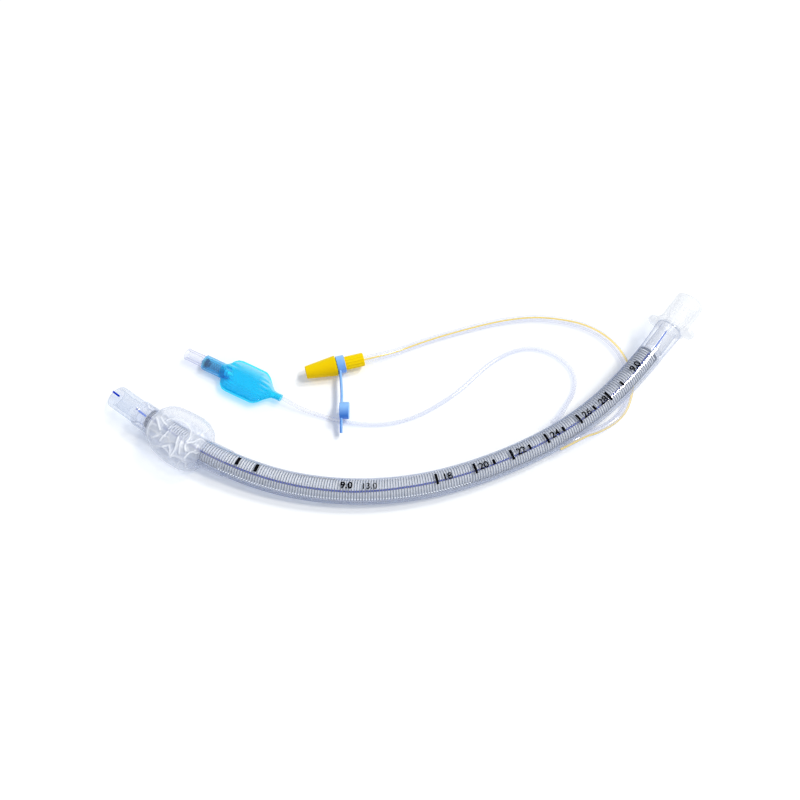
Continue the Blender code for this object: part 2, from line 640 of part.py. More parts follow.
def check_valve(axis, looks):
    """The housing with its spring, plunger and seal, and the inlet that a syringe fits."""
    bore = HOUSING_RADIUS - HOUSING_WALL
    spigot = HOUSING_RADIUS - POUCH_WALL - SEAT_GAP
    shoulder = POUCH_LENGTH + SEAT_GAP
    mouth = shoulder + HOUSING_LENGTH
    floor = shoulder - SPIGOT_LENGTH + VALVE_SHOULDER
    housing = [
        (shoulder - SPIGOT_LENGTH, AIR_HOLE), (shoulder - SPIGOT_LENGTH, spigot), (shoulder, spigot),
        (shoulder, HOUSING_RADIUS), (mouth, HOUSING_RADIUS), (mouth, bore), (floor, bore), (floor, AIR_HOLE),
    ]
    on_axis(turned("valve_housing", housing, TURNED_SIDES, looks["blue"]), axis)

    inlet_base = mouth + SEAT_GAP
    spigot_end = mouth - INLET_SPIGOT
    inlet_spigot = bore - SEAT_GAP
    rim = inlet_base + INLET_LENGTH
    inlet = [
        (spigot_end, SEAL_HOLE), (spigot_end, inlet_spigot), (inlet_base, inlet_spigot),
        (inlet_base, INLET_BASE), (rim, INLET_RIM), (rim, INLET_BORE),
        (inlet_base + INLET_SPIGOT, INLET_THROAT), (inlet_base + INLET_SPIGOT, SEAL_HOLE),
    ]
    on_axis(turned("valve_inlet", inlet, TURNED_SIDES, looks["clear"]), axis)

    seal_top = spigot_end - SEAT_GAP
    seal = [(0, SEAL_HOLE), (0, inlet_spigot), (-SEAL_THICKNESS, inlet_spigot), (-SEAL_THICKNESS, SEAL_HOLE)]
    on_axis(turned("valve_seal", seal, TURNED_SIDES, looks["rubber"]), axis, seal_top)

    disc_top = seal_top - SEAL_THICKNESS - SEAT_GAP
    disc = (SEAL_HOLE + inlet_spigot) / 2 + SEAT_GAP
    boss = SPRING_RADIUS - SPRING_WIRE - SEAT_GAP
    plunger = [
        (STEM_REACH, 0), (STEM_REACH, PLUNGER_STEM / 2), (STEM_REACH - PLUNGER_STEM / 2, PLUNGER_STEM),
        (0, PLUNGER_STEM), (0, disc), (-DISC_THICKNESS, disc), (-DISC_THICKNESS, boss),
        (-DISC_THICKNESS - BOSS_LENGTH, boss), (-DISC_THICKNESS - BOSS_LENGTH, 0),
    ]
    on_axis(turned("valve_plunger", plunger, SMALL_SIDES, looks["dark"]), axis, disc_top)

    low = floor + SEAT_GAP + SPRING_WIRE / 2
    high = disc_top - DISC_THICKNESS - SEAT_GAP - SPRING_WIRE / 2
    on_axis(valve_spring(low, high, looks["steel"]), axis)


def valve_spring(low, high, look):
    """A coil spring with square-wire turns, wound about Z from low to high."""
    steps = 12
    middle = SPRING_RADIUS - SPRING_WIRE / 2
    half = SPRING_WIRE / 2
    rings = []
    for step in range(SPRING_TURNS * steps + 1):
        angle = 2 * math.pi * step / steps
        along = low + (high - low) * step / (SPRING_TURNS * steps)
        outwards = Vector((math.cos(angle), math.sin(angle), 0))
        centre = outwards * middle + UP * along
        corners = (outwards, UP, -outwards, -UP)
        rings.append([centre + corner * half for corner in corners])
    return loft("valve_spring", rings, look)


def suction_connector(axis, look):
    """The tapered funnel that a suction hose fits, and the ribbed grip that holds the line."""
    ring_start = FUNNEL_LENGTH
    ring_end = ring_start + RING_LENGTH + 2 * SEAT_GAP
    neck = RING_RADIUS - RING_WALL - SEAT_GAP
    end = ring_end + GRIP_LENGTH
    socket = SUCTION_DIAMETER / 2 + SEAT_GAP
    sides = 2 * GRIP_RIBS

    def section(along, radius, rib=0.0):
        ring = []
        for i in range(sides):
            a = 2 * math.pi * i / sides
            reach = radius - rib * (i % 2)
            ring.append(Vector((reach * math.cos(a), reach * math.sin(a), along)))
        return ring

    rings = [
        section(0, FUNNEL_BORE), section(0, FUNNEL_TIP), section(ring_start - FUNNEL_SHOULDER, FUNNEL_RADIUS),
        section(ring_start, FUNNEL_RADIUS), section(ring_start, neck), section(ring_end, neck),
        section(ring_end, GRIP_RADIUS + GRIP_RIB, GRIP_RIB), section(end, GRIP_RADIUS + GRIP_RIB, GRIP_RIB),
        section(end, socket), section(end - LINE_SOCKET, socket), section(end - LINE_SOCKET, FUNNEL_BORE),
    ]
    on_axis(loft("suction_connector", rings, look, looped=True), axis)


def strip(name, route, width, thickness):
    """A flat strip on edge along its route: its width stands upright and its thickness lies across."""
    points = [Vector(point) * MM for point in route]
    rings = []
    for i, point in enumerate(points):
        run = (points[min(i + 1, len(points) - 1)] - points[max(i - 1, 0)]).normalized()
        across = run.cross(UP).normalized() * thickness / 2
        rise = across.cross(run).normalized() * width / 2
        corners = (-across - rise, across - rise, across + rise, rise - across)
        rings.append([point + corner for corner in corners])
    return loft(name, rings, None)


def suction_cap(axis, look):
    """One moulding: the ring on the connector's neck, a strap, the cap and its pull tab."""
    start = FUNNEL_LENGTH + SEAT_GAP
    inner = RING_RADIUS - RING_WALL
    profile = [
        (start, inner), (start, RING_RADIUS), (start + RING_LENGTH, RING_RADIUS),
        (start + RING_LENGTH, inner),
    ]
    ring = turned("suction_cap", profile, TURNED_SIDES, look)
    on_axis(ring, axis)
    strap = strip("strap_blank", STRAP_ROUTE, STRAP_WIDTH, STRAP_THICKNESS)
    cup_profile = [
        (0, CAP_BORE), (0, CAP_RADIUS), (CAP_LENGTH, CAP_RADIUS), (CAP_LENGTH, 0), (CAP_DEPTH, 0),
        (CAP_DEPTH, CAP_BORE),
    ]
    cup = turned("cap_blank", cup_profile, TURNED_SIDES, None)
    cup.matrix_world = axes_matrix(Vector(CAP_START), Vector((1, 0, 0)), UP)
    tab = strip("tab_blank", TAB_ROUTE, STRAP_WIDTH, STRAP_THICKNESS)
    for piece in (strap, cup, tab):
        combine(ring, piece, "UNION")


def build():
    clear_scene()
    clear = (0.86, 0.88, 0.92)
    looks = {
        "clear": material("clear_hard_plastic", (0.9, 0.9, 0.93), 0.15, transmission=0.85),
        "blue": material("blue_plastic", (0.05, 0.55, 0.85), 0.25, transmission=0.5),
        "dark": material("dark_plastic", (0.05, 0.09, 0.12), 0.4),
        "rubber": material("seal_rubber", (0.75, 0.75, 0.72), 0.7),
        "steel": material("spring_steel", (0.5, 0.52, 0.55), 0.3, metallic=1.0),
    }
    bevel_tip(material("tip_pvc", clear, 0.2, transmission=0.85))
    shaft_liner(material("liner_pvc", clear, 0.2, transmission=0.85))
    reinforcing_wire(material("coil_steel", (0.62, 0.64, 0.67), 0.25, metallic=1.0))
    shaft_jacket(material("jacket_pvc", clear, 0.15, transmission=0.85))
    cuff(material("cuff_film", (0.9, 0.91, 0.93), 0.15, transmission=0.9))
    connector_15mm(material("connector_plastic", (0.93, 0.93, 0.95), 0.2, transmission=0.6))
    valve_axis = straight_axis("valve_axis", VALVE_START, VALVE_HEADING)
    pilot_balloon(valve_axis, material("pouch_film", (0.05, 0.62, 0.9), 0.15, transmission=0.6))
    check_valve(valve_axis, looks)
    funnel_axis = straight_axis("funnel_axis", FUNNEL_START, FUNNEL_HEADING)
    suction_connector(funnel_axis, material("yellow_plastic", (0.95, 0.65, 0.0), 0.4))
    suction_cap(funnel_axis, material("light_blue_plastic", (0.15, 0.45, 0.95), 0.35))
    inflation_pvc = material("inflation_pvc", clear, 0.2, transmission=0.8)
    cord("inflation_line", INFLATION_ROUTE, INFLATION_DIAMETER, inflation_pvc)
    suction_pvc = material("suction_pvc", clear, 0.2, transmission=0.8)
    cord("suction_line", SUCTION_ROUTE, SUCTION_DIAMETER, suction_pvc)


build()
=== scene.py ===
# %% [markdown]
# # A cuffed endotracheal tube in Blender
#
# The tube lies on a white table: a clear shaft with a steel coil in its wall, a crumpled film cuff, a pale
# connector with two ears, a blue pilot balloon on a thin line, and a yellow suction connector on a thicker
# one. The solids of every piece come from the frame. This script gives each one the form and the finish
# that the eye sees, in the same place, so nothing here moves or resizes what the frame holds.

# %% Open the scene and load the frame
import json
import math
from contextlib import contextmanager

import bmesh
import bpy
import numpy as np
from mathutils import Matrix, Vector, noise

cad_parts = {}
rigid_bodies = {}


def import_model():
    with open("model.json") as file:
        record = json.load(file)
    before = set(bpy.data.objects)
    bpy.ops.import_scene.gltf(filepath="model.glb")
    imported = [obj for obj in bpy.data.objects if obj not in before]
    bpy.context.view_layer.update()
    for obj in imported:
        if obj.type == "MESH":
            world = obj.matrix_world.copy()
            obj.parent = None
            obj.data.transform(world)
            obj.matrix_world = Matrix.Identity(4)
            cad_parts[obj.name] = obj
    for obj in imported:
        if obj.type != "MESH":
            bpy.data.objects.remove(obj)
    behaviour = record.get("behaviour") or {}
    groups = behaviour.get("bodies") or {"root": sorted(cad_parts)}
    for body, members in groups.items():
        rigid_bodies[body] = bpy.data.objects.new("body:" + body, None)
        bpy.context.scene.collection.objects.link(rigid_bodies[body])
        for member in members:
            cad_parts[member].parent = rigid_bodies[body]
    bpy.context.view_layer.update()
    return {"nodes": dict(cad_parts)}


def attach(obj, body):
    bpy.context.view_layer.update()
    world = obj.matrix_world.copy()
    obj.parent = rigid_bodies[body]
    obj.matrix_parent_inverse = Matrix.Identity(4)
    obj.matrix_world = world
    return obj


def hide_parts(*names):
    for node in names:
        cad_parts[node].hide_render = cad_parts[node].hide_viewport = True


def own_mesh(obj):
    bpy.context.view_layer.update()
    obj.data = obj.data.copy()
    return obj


for found in list(bpy.data.objects):
    bpy.data.objects.remove(found, do_unlink=True)

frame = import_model()
MM = 0.001
print("solids loaded:", len(frame["nodes"]))

# %% [markdown]
# ## The camera
#
# The view looks down at 64 degrees. A camera turned 26 degrees from straight down about the X axis gives
# that, and its place follows from the picture's perspective. It is made first, because the free lines on
# the table have to stay inside what it sees.

# %% Camera
CAMERA_PLACE = (-3.88 * MM, -215.13 * MM, 448.5 * MM)
CAMERA_TURN = math.radians(26)
LENS = 42.615

camera = bpy.data.objects.new("camera", bpy.data.cameras.new("camera"))
bpy.context.scene.collection.objects.link(camera)
camera.location = CAMERA_PLACE
camera.rotation_euler = (CAMERA_TURN, 0, 0)
camera.data.lens = LENS
camera.data.sensor_width = 36
camera.data.clip_start = 0.01
bpy.context.scene.camera = camera

# %% [markdown]
# ## Nodes written as sums
#
# A material is a small program. Written node by node it hides its own meaning, so one class wraps an output
# socket and gives it +, -, * and the rest, and one method adds any other node. The same two serve the
# Geometry Nodes trees further down.


# %% Signals and graphs
class Signal:
    """One output of a node. Arithmetic on signals adds the Math nodes that work it out."""

    def __init__(self, graph, socket):
        self.graph = graph
        self.socket = socket

    def held(self, low=0.0, high=1.0):
        """The signal kept between two values."""
        return self.graph.maths("MAXIMUM", self.graph.maths("MINIMUM", self, high), low)


def arithmetic(operation, swapped=False):
    """The method of Signal that adds one Math node. swapped puts the other value first."""

    def method(signal, other):
        return signal.graph.maths(operation, *((other, signal) if swapped else (signal, other)))

    return method


SIGNS = {"add": "ADD", "sub": "SUBTRACT", "mul": "MULTIPLY", "truediv": "DIVIDE", "pow": "POWER"}
for sign, operation in SIGNS.items():
    setattr(Signal, f"__{sign}__", arithmetic(operation))
    setattr(Signal, f"__r{sign}__", arithmetic(operation, swapped=True))


class Graph:
    """Adds nodes to a tree: the settings are made first, then the sockets get their values or links."""

    def __init__(self, tree):
        self.tree = tree
        tree.nodes.clear()

    def node(self, kind, sockets=None, settings=None, output=0):
        made = self.tree.nodes.new(kind)
        for name, value in (settings or {}).items():
            setattr(made, name, value)
        for name, value in (sockets or {}).items():
            if isinstance(value, Signal):
                self.tree.links.new(value.socket, made.inputs[name])
            else:
                made.inputs[name].default_value = value
        return Signal(self, made.outputs[output]) if made.outputs else made

    def maths(self, operation, *values):
        return self.node("ShaderNodeMath", dict(enumerate(values)), {"operation": operation})

    def vectors(self, operation, *values, output=0):
        return self.node("ShaderNodeVectorMath", dict(enumerate(values)), {"operation": operation}, output)


# %% [markdown]
# ## Colours, and the surfaces of clear plastic
#
# Soft clear plastic shows three things at once: what lies behind it, a faint haze that gathers where the
# wall is seen edge on, and the lamps as highlights. Real refraction would do it too, but it drowns the fine
# coil in noise. So each wall mixes a Transparent shader with a hazy one by how far the surface turns from
# the eye, and lays a mirror over both.


# %% Colours and materials
def seen(red, green, blue):
    """A colour as it looks on a screen, in the linear values that shaders take."""
    return (*(((c + 0.055) / 1.055) ** 2.4 if c > 0.04045 else c / 12.92 for c in (red, green, blue)), 1)


def new_material(name):
    made = bpy.data.materials.new(name)
    made.use_nodes = True
    return made, Graph(made.node_tree)


def surface(graph, shader):
    graph.node("ShaderNodeOutputMaterial", {"Surface": shader})


def mixed(graph, share, first, second):
    return graph.node("ShaderNodeMixShader", {0: share, 1: first, 2: second})


def passing(graph, colour):
    return graph.node("ShaderNodeBsdfTransparent", {"Color": colour})


def on_rays(graph, kind):
    return graph.node("ShaderNodeLightPath", output=f"Is {kind} Ray")


def edge_on(graph):
    """0 where a surface faces the eye, and 1 where it is seen from the side."""
    return graph.node("ShaderNodeLayerWeight", {"Blend": 0.5}, output="Facing")


def kept_number(graph, name):
    return graph.node("ShaderNodeAttribute", {}, {"attribute_name": name}, "Fac")


def grain(graph, size, detail=3.0):
    """Noise on the piece's own coordinates, whose blotches are about size across."""
    place = graph.node("ShaderNodeTexCoord", output="Object")
    return graph.node("ShaderNodeTexNoise", {"Vector": place, "Scale": 1 / size, "Detail": detail})


def between(graph, amount, low, high):
    """A colour that runs from low to high as amount goes from 0 to 1."""
    return graph.node("ShaderNodeMix", {0: amount, 6: low, 7: high}, {"data_type": "RGBA"}, 2)


def bumped(graph, height, depth):
    return graph.node("ShaderNodeBump", {"Height": height, "Distance": depth, "Strength": 0.5})


LAMP_SIDE = (0.9, 0.45, 0)
WHITE = (1, 1, 1, 1)
CLEAR = seen(0.996, 0.997, 1)
EDGE_SHADOW = (0.45, 0.49, 0.60, 1)


# Painted light and shade are laid by how a surface turns to the lamps on this side.
def facing_lamps(graph):
    """How far a surface slopes to the lamps, at the right and behind: 1 near them, -1 on the far side."""
    normal = graph.node("ShaderNodeNewGeometry", output="Normal")
    return graph.vectors("DOT_PRODUCT", normal, LAMP_SIDE, output="Value")


# Painted shade: 0 on the lamps' side, rising to 1 on the side turned from them.
def turned_away(graph):
    return (0.1 - 1.8 * facing_lamps(graph)).held()


def plastic(name, colour, darker, roughness=0.35, spread=0.08, coat=0.0, shine=0.5, deep=None):
    """A solid moulded plastic: a slow drift of colour, uneven gloss and a faint orange peel.

    deep is a painted shade: the colour on the side away from the lamps.
    """
    made, graph = new_material(name)
    blotch = 3 * MM
    peel = grain(graph, blotch / 6)
    base = between(graph, grain(graph, blotch), darker, colour)
    # Painted shade on the side turned from the lamps.
    if deep:
        base = between(graph, turned_away(graph), base, deep)
    surface(graph, graph.node("ShaderNodeBsdfPrincipled", {
        "Base Color": base, "Roughness": roughness + (peel - 0.5) * spread, "Specular IOR Level": shine,
        "Coat Weight": coat, "Normal": bumped(graph, peel, 0.03 * MM),
    }))
    return made


def finish_clear(graph, wall, relief, facing, mirror, roughness, shadow, edge_shadow=EDGE_SHADOW):
    """Lays a mirror over a clear wall and sets what it lets through of the lamps' light.

    A wall that the light meets edge on bends it away, so a tube's shadow is darkest along its two sides.
    """
    gloss = graph.node("ShaderNodeBsdfPrincipled", {
        "Base Color": WHITE, "Metallic": 1.0, "Roughness": roughness, "Normal": relief,
    })
    lit = mixed(graph, (mirror + 0.2 * facing**5).held(), wall, gloss)
    dimmed = mixed(graph, (facing**1.5).held(), passing(graph, shadow), passing(graph, edge_shadow))
    surface(graph, mixed(graph, on_rays(graph, "Shadow"), lit, dimmed))


def see_through(graph, milky, tint, colour, roughness, relief):
    """A wall that lets tinted light through, except for the share that its own colour takes."""
    body = graph.node("ShaderNodeBsdfPrincipled", {
        "Base Color": colour, "Roughness": roughness, "Specular IOR Level": 0.1, "Normal": relief,
    })
    return mixed(graph, milky, passing(graph, tint), body)


def clear(
    name, colour, tint=CLEAR, haze=0.03, edge=0.5, edge_power=3.0, mirror=0.05, roughness=0.08, patchy=0.2,
    shadow=(0.955, 0.968, 0.99, 1), edge_shadow=EDGE_SHADOW, deep=None, pale=None,
):
    """See-through plastic.

    tint is what a wall lets through, and haze and edge are how milky it is face on and edge on. deep is a
    painted shade on the side away from the lamps, and pale a painted light on the side that slopes to them.
    """
    made, graph = new_material(name)
    facing = edge_on(graph)
    drift = grain(graph, 3 * MM, 1.0)
    relief = bumped(graph, drift, 0.006 * MM)
    # Painted shade on the side away from the lamps.
    if deep:
        colour = between(graph, turned_away(graph), colour, deep)
    milky = haze * (1 + patchy * (drift - 0.5) * 2) + edge * facing**edge_power
    # Painted light: paler and more milky on the side that slopes to the lamps.
    if pale:
        painted_light_share = (2.2 * facing_lamps(graph) - 0.15).held()
        colour = between(graph, painted_light_share, colour, pale)
        milky = milky + painted_light_share * 0.55
    wall = see_through(graph, milky.held(), tint, colour, 0.5, relief)
    finish_clear(graph, wall, relief, facing, mirror, roughness, shadow, edge_shadow)
    return made


def striped(name, colour, stripe_colour, haze, edge, shadow):
    """The suction line's clear plastic with its coloured stripe, which a number kept on the piece places."""
    made, graph = new_material(name)
    facing = edge_on(graph)
    relief = bumped(graph, grain(graph, 2 * MM), 0.01 * MM)
    stripe = ((0.5 - kept_number(graph, "stripe")) / 0.15).held()
    milky = (haze + edge * facing**2 + stripe * 0.8).held()
    wall = see_through(graph, milky, CLEAR, between(graph, stripe, colour, stripe_colour), 0.5, relief)
    finish_clear(graph, wall, relief, facing, 0.05, 0.1, shadow)
    return made


def film(name, pale, dull):
    """The cuff's film: clear where it is taut, milky where it has crumpled, and white along its creases.

    The white of the creases is partly the creased film's own and partly a painted highlight, and each
    crumpled facet has a painted shade of its own.
    """
    made, graph = new_material(name)
    facing = edge_on(graph)
    fold, cover, shade = (kept_number(graph, label) for label in ("fold", "cover", "shade"))
    drift = grain(graph, 1.5 * MM)
    relief = bumped(graph, drift, 0.015 * MM)
    milky = (0.015 + 0.02 * drift + 0.58 * cover + 0.8 * fold + 0.3 * facing**3).held()
    # Painted shade and highlight: each facet takes its own tone, and the creases turn pale.
    colour = between(graph, (0.3 + 0.6 * shade + 1.2 * fold).held(), dull, pale)
    wall = see_through(graph, milky, CLEAR, colour, 0.35, relief)
    finish_clear(graph, wall, relief, facing, 0.035, 0.28, (0.95, 0.96, 0.985, 1), (0.80, 0.83, 0.90, 1))
    return made


def metal(name, colour, darker, roughness, shadow=0.0):
    """Drawn wire. shadow is the share of the lamps' light that gets past it by glancing off to both sides."""
    made, graph = new_material(name)
    wire = graph.node("ShaderNodeBsdfPrincipled", {
        "Base Color": between(graph, grain(graph, 1.2 * MM), darker, colour),
        "Metallic": 0.75,
        "Roughness": roughness + (grain(graph, 0.4 * MM) - 0.5) * 0.15,
    })
    if shadow:
        wire = mixed(graph, on_rays(graph, "Shadow") * shadow, wire, passing(graph, WHITE))
    surface(graph, wire)
    return made


def glint(name):
    """Light that the round wall gathers between two turns of the coil. It shines a little of itself."""
    made, graph = new_material(name)
    surface(graph, graph.node("ShaderNodeBsdfPrincipled", {
        "Base Color": between(graph, grain(graph, 1 * MM), seen(0.90, 0.92, 0.96), seen(1, 1, 1)),
        "Roughness": 0.4, "Emission Color": (0.9, 0.95, 1, 1), "Emission Strength": 0.45,
    }))
    return made


LINE_HAZE = seen(0.80, 0.82, 0.92)
LINE_SHADOW = (0.93, 0.94, 0.98, 1)
LOOKS = {
    "tip": clear("soft_tip_pvc", seen(0.78, 0.83, 0.91), haze=0.15, patchy=0.1),
    # Painted shade: a darker blue along the side of the wall turned from the lamps.
    "jacket": clear(
        "jacket_pvc", seen(0.74, 0.79, 0.90), haze=0.012, edge=0.97, edge_power=3.2, mirror=0.06,
        roughness=0.05, shadow=(0.985, 0.99, 1.0, 1), edge_shadow=(0.10, 0.12, 0.17, 1),
        deep=seen(0.33, 0.43, 0.64),
    ),
    "liner": clear(
        "liner_pvc", seen(0.965, 0.975, 1.0), haze=0.96, edge=0.04, mirror=0.0, patchy=0.0,
        shadow=(0.70, 0.73, 0.81, 1),
    ),
    "coil": metal("coil_steel", seen(0.54, 0.59, 0.68), seen(0.36, 0.41, 0.50), 0.25, shadow=0.88),
    # The film's pale and dull colours carry its painted facet shade and, in part, the painted highlight of
    # its creases.
    "film": film("cuff_film", seen(0.96, 0.97, 1.0), seen(0.64, 0.69, 0.79)),
    "connector": clear(
        "connector_polycarbonate", seen(0.985, 0.985, 0.99), haze=0.24, edge=0.2, edge_power=2.0,
        roughness=0.15, patchy=0.1, shadow=(0.965, 0.973, 0.99, 1),
    ),
    # The look of the thin dark arcs at the rim of the flared end.
    "dark_rim": clear("bond_line", seen(0.62, 0.70, 0.80), haze=0.3, edge=0.3),
    "line": clear("line_pvc", LINE_HAZE, edge=0.4, edge_power=2.0, mirror=0.08, shadow=LINE_SHADOW),
    "striped_line": striped("striped_line_pvc", LINE_HAZE, seen(0.99, 0.87, 0.40), 0.03, 0.5, LINE_SHADOW),
    # Painted light and shade: paler and more milky on the side that slopes to the lamps, deeper blue on the
    # far side.
    "pouch": clear(
        "pouch_film", seen(0.0, 0.76, 0.94), (0.30, 0.93, 0.985, 1), haze=0.08, edge=0.4, edge_power=2.5,
        mirror=0.02, shadow=(0.74, 0.95, 0.99, 1), deep=seen(0.0, 0.66, 0.90), pale=seen(0.66, 0.88, 0.97),
    ),
    "housing": clear(
        "valve_blue", seen(0.04, 0.56, 0.93), (0.58, 0.92, 0.995, 1), haze=0.10, edge=0.7,
        shadow=(0.80, 0.90, 0.98, 1),
    ),
    "inlet": clear(
        "valve_clear", seen(0.45, 0.48, 0.80), haze=0.02, edge=0.85, edge_power=3.5, shadow=LINE_SHADOW,
    ),
    "seal": plastic("seal_rubber", seen(0.85, 0.85, 0.82), seen(0.75, 0.75, 0.72), roughness=0.6),
    "stem": plastic("plunger_pale", seen(0.80, 0.86, 0.92), seen(0.72, 0.80, 0.88)),
    "plunger": plastic("plunger_dark", seen(0.10, 0.20, 0.30), seen(0.05, 0.10, 0.18)),
    "spring": metal("spring_steel", seen(0.44, 0.58, 0.66), seen(0.26, 0.38, 0.48), 0.3),
    # Painted shade: a deeper yellow on the side turned from the lamps.
    "yellow": plastic(
        "connector_yellow", seen(1.0, 0.89, 0.0), seen(1.0, 0.86, 0.0), roughness=0.45, shine=0.08,
        deep=seen(1.0, 0.80, 0.0),
    ),
    # Painted shade: a deeper blue on the side turned from the lamps.
    "cap": plastic(
        "cap_blue", seen(0.64, 0.82, 1.0), seen(0.50, 0.73, 1.0), roughness=0.3, coat=0.25, shine=0.2,
        deep=seen(0.02, 0.44, 0.88),
    ),
    "ink": plastic("print_ink", seen(0.03, 0.03, 0.05), seen(0.01, 0.01, 0.02), roughness=0.7, shine=0.05),
    "blue_line": plastic("marker_line_blue", seen(0.0, 0.25, 0.74), seen(0.0, 0.20, 0.66), shine=0.0),
    "pale_blue": plastic("marker_line_pale", seen(0.40, 0.55, 0.92), seen(0.34, 0.50, 0.90), shine=0.0),
    "tip_mark": plastic("tip_mark_blue", seen(0.0, 0.26, 0.84), seen(0.0, 0.20, 0.78), shine=0.0),
    # The nozzle is pure white as a painted highlight on its tip.
    "nozzle_highlight": plastic("nozzle_pale", WHITE, seen(0.96, 0.97, 0.99), roughness=0.3, coat=0.3),
    "glint": glint("coil_glint"),
}

# %% [markdown]
# ## The shaft's centre line
#
# Everything on the shaft is placed by how far along it lies, so one class gives the middle of the shaft at
# any distance from the tip, with the directions along it, to the outer side of its bend, and up. The bend
# is a smooth curve through a few headings, and the height rises a little at the cuff and more at the
# connector.

# %% Centre line of the shaft
SHAFT_START = (-154.68, 4.67)
HEADING_STEP = 40
HEADINGS = [-36.7, -32.7, -22.8, -8.7, 5.2, 18.4, 27.6, 40.4, 49.7, 51.4]
SHAFT_RADIUS = 6.498
RESTING_HEIGHT = 6.373
CUFF_LIFT, CUFF_LIFT_ENDS, CUFF_LIFT_RUN = 2.0, 118, 70
END_LIFT, END_LIFT_STARTS, END_LIFT_RUN = 12.6, 215, 139.5
PATH_LENGTH = 460


def natural_spline(knots, values, at):
    """The natural cubic spline through values at knots, read at each of the places in at."""
    knots, values, at = (np.asarray(given, float) for given in (knots, values, at))
    gaps = np.diff(knots)
    count = len(knots)
    rows = np.eye(count)
    bends = np.zeros(count)
    for i in range(1, count - 1):
        rows[i, i - 1 : i + 2] = gaps[i - 1], 2 * (gaps[i - 1] + gaps[i]), gaps[i]
        slope_after = (values[i + 1] - values[i]) / gaps[i]
        bends[i] = 6 * (slope_after - (values[i] - values[i - 1]) / gaps[i - 1])
    second = np.linalg.solve(rows, bends)
    run = np.clip(np.searchsorted(knots, at, side="right") - 1, 0, count - 2)
    b = (at - knots[run]) / gaps[run]
    a = 1 - b
    curved = (a**3 - a) * second[run] + (b**3 - b) * second[run + 1]
    return a * values[run] + b * values[run + 1] + curved * gaps[run] ** 2 / 6


class Centreline:
    """The middle of the shaft in millimetres, read at distances from the tip."""

    def __init__(self):
        self.fine = np.arange(0, PATH_LENGTH, 0.5)
        knots = HEADING_STEP * np.arange(len(HEADINGS))
        heading = np.radians(natural_spline(knots, HEADINGS, np.minimum(self.fine, knots[-1])))
        rise = np.clip((CUFF_LIFT_ENDS - self.fine) / CUFF_LIFT_RUN, 0, 1)
        end = np.clip((self.fine - END_LIFT_STARTS) / END_LIFT_RUN, 0, None)
        z = RESTING_HEIGHT + CUFF_LIFT * rise**2 * (3 - 2 * rise) + END_LIFT * end**2
        climb = np.gradient(z, self.fine)
        level = np.sqrt(1 - climb**2)
        self.path = np.stack([np.cos(heading) * level, np.sin(heading) * level, climb], axis=1)
        steps = (self.path[1:] + self.path[:-1]) / 2 * (self.fine[1] - self.fine[0])
        self.points = np.concatenate([[[0, 0, 0]], np.cumsum(steps, axis=0)])
        self.points += [*SHAFT_START, 0]
        self.points[:, 2] = z

    def frames(self, along):
        """Points, and unit vectors along, to the outer side of the bend and up, one row for each distance."""
        along = np.asarray(along, float).ravel()
        point, tangent = (
            np.stack([np.interp(along, self.fine, table[:, i]) for i in range(3)], axis=1)
            for table in (self.points, self.path)
        )
        tangent /= np.linalg.norm(tangent, axis=1)[:, None]
        point = point + tangent * np.minimum(along, 0)[:, None]
        side = np.cross(tangent, [0, 0, 1])
        side /= np.linalg.norm(side, axis=1)[:, None]
        return point, tangent, side, np.cross(side, tangent)

    def place(self, along, across, rise):
        """World points in metres for arrays of distances along, offsets to the outer side and offsets up."""
        along, across, rise = np.broadcast_arrays(along, across, rise)
        point, _, side, up = self.frames(along)
        spots = point + side * across.reshape(-1, 1) + up * rise.reshape(-1, 1)
        return spots.reshape(*along.shape, 3) * MM

    def around(self, along, reach, turn, shift=0.0):
        """World points at a reach and an angle from the middle. shift moves them to the inner side."""
        return self.place(along, reach * np.cos(turn) - shift, reach * np.sin(turn))


SHAFT = Centreline()
print("connector end of the shaft:", (SHAFT.place(336, 0, 0) / MM).round(1))


# %% [markdown]
# ## Skins
#
# Nearly every piece here is a grid of points: rings across it, one after another. One helper turns such a
# grid into a closed mesh, and can keep a number for each point, such as how near the stripe is, which a
# material reads back. A few more helpers cut, round, move and dress a piece.


# %% Grids of points into meshes
def new_object(name, data):
    made = bpy.data.objects.new(name, data)
    bpy.context.scene.collection.objects.link(made)
    return made


@contextmanager
def edited(data):
    """Opens a mesh for bmesh operators and writes it back."""
    shape = bmesh.new()
    shape.from_mesh(data)
    yield shape
    shape.to_mesh(data)
    shape.free()


def soften(data, sharp=40):
    data.shade_smooth()
    data.set_sharp_from_angle(angle=math.radians(sharp))


def skin(name, grid, looped=False, capped=False, sharp=40, marks=None):
    """Rings of points (rings, corners, 3) into one closed mesh. looped joins the last ring to the first.

    marks holds a number for each point under a name, which a material can read back.
    """
    rings, corners = grid.shape[:2]
    index = np.arange(rings * corners).reshape(rings, corners)
    near = index if looped else index[:-1]
    far = np.roll(index, -1, axis=0) if looped else index[1:]
    faces = np.stack([near, np.roll(near, -1, axis=1), np.roll(far, -1, axis=1), far], axis=-1)
    faces = [tuple(face) for face in faces.reshape(-1, 4).tolist()]
    if capped:
        faces += [tuple(index[0][::-1].tolist()), tuple(index[-1].tolist())]
    data = bpy.data.meshes.new(name)
    data.from_pydata(grid.reshape(-1, 3).tolist(), [], faces)
    for label, values in (marks or {}).items():
        data.attributes.new(label, "FLOAT", "POINT").data.foreach_set("value", values.ravel())
    with edited(data) as shape:
        bmesh.ops.remove_doubles(shape, verts=shape.verts, dist=MM / 1000)
        bmesh.ops.recalc_face_normals(shape, faces=shape.faces)
    soften(data, sharp)
    return new_object(name, data)


def circle(sides):
    """Angles of a ring, from the outer side of the bend upwards."""
    return np.arange(sides) * 2 * math.pi / sides


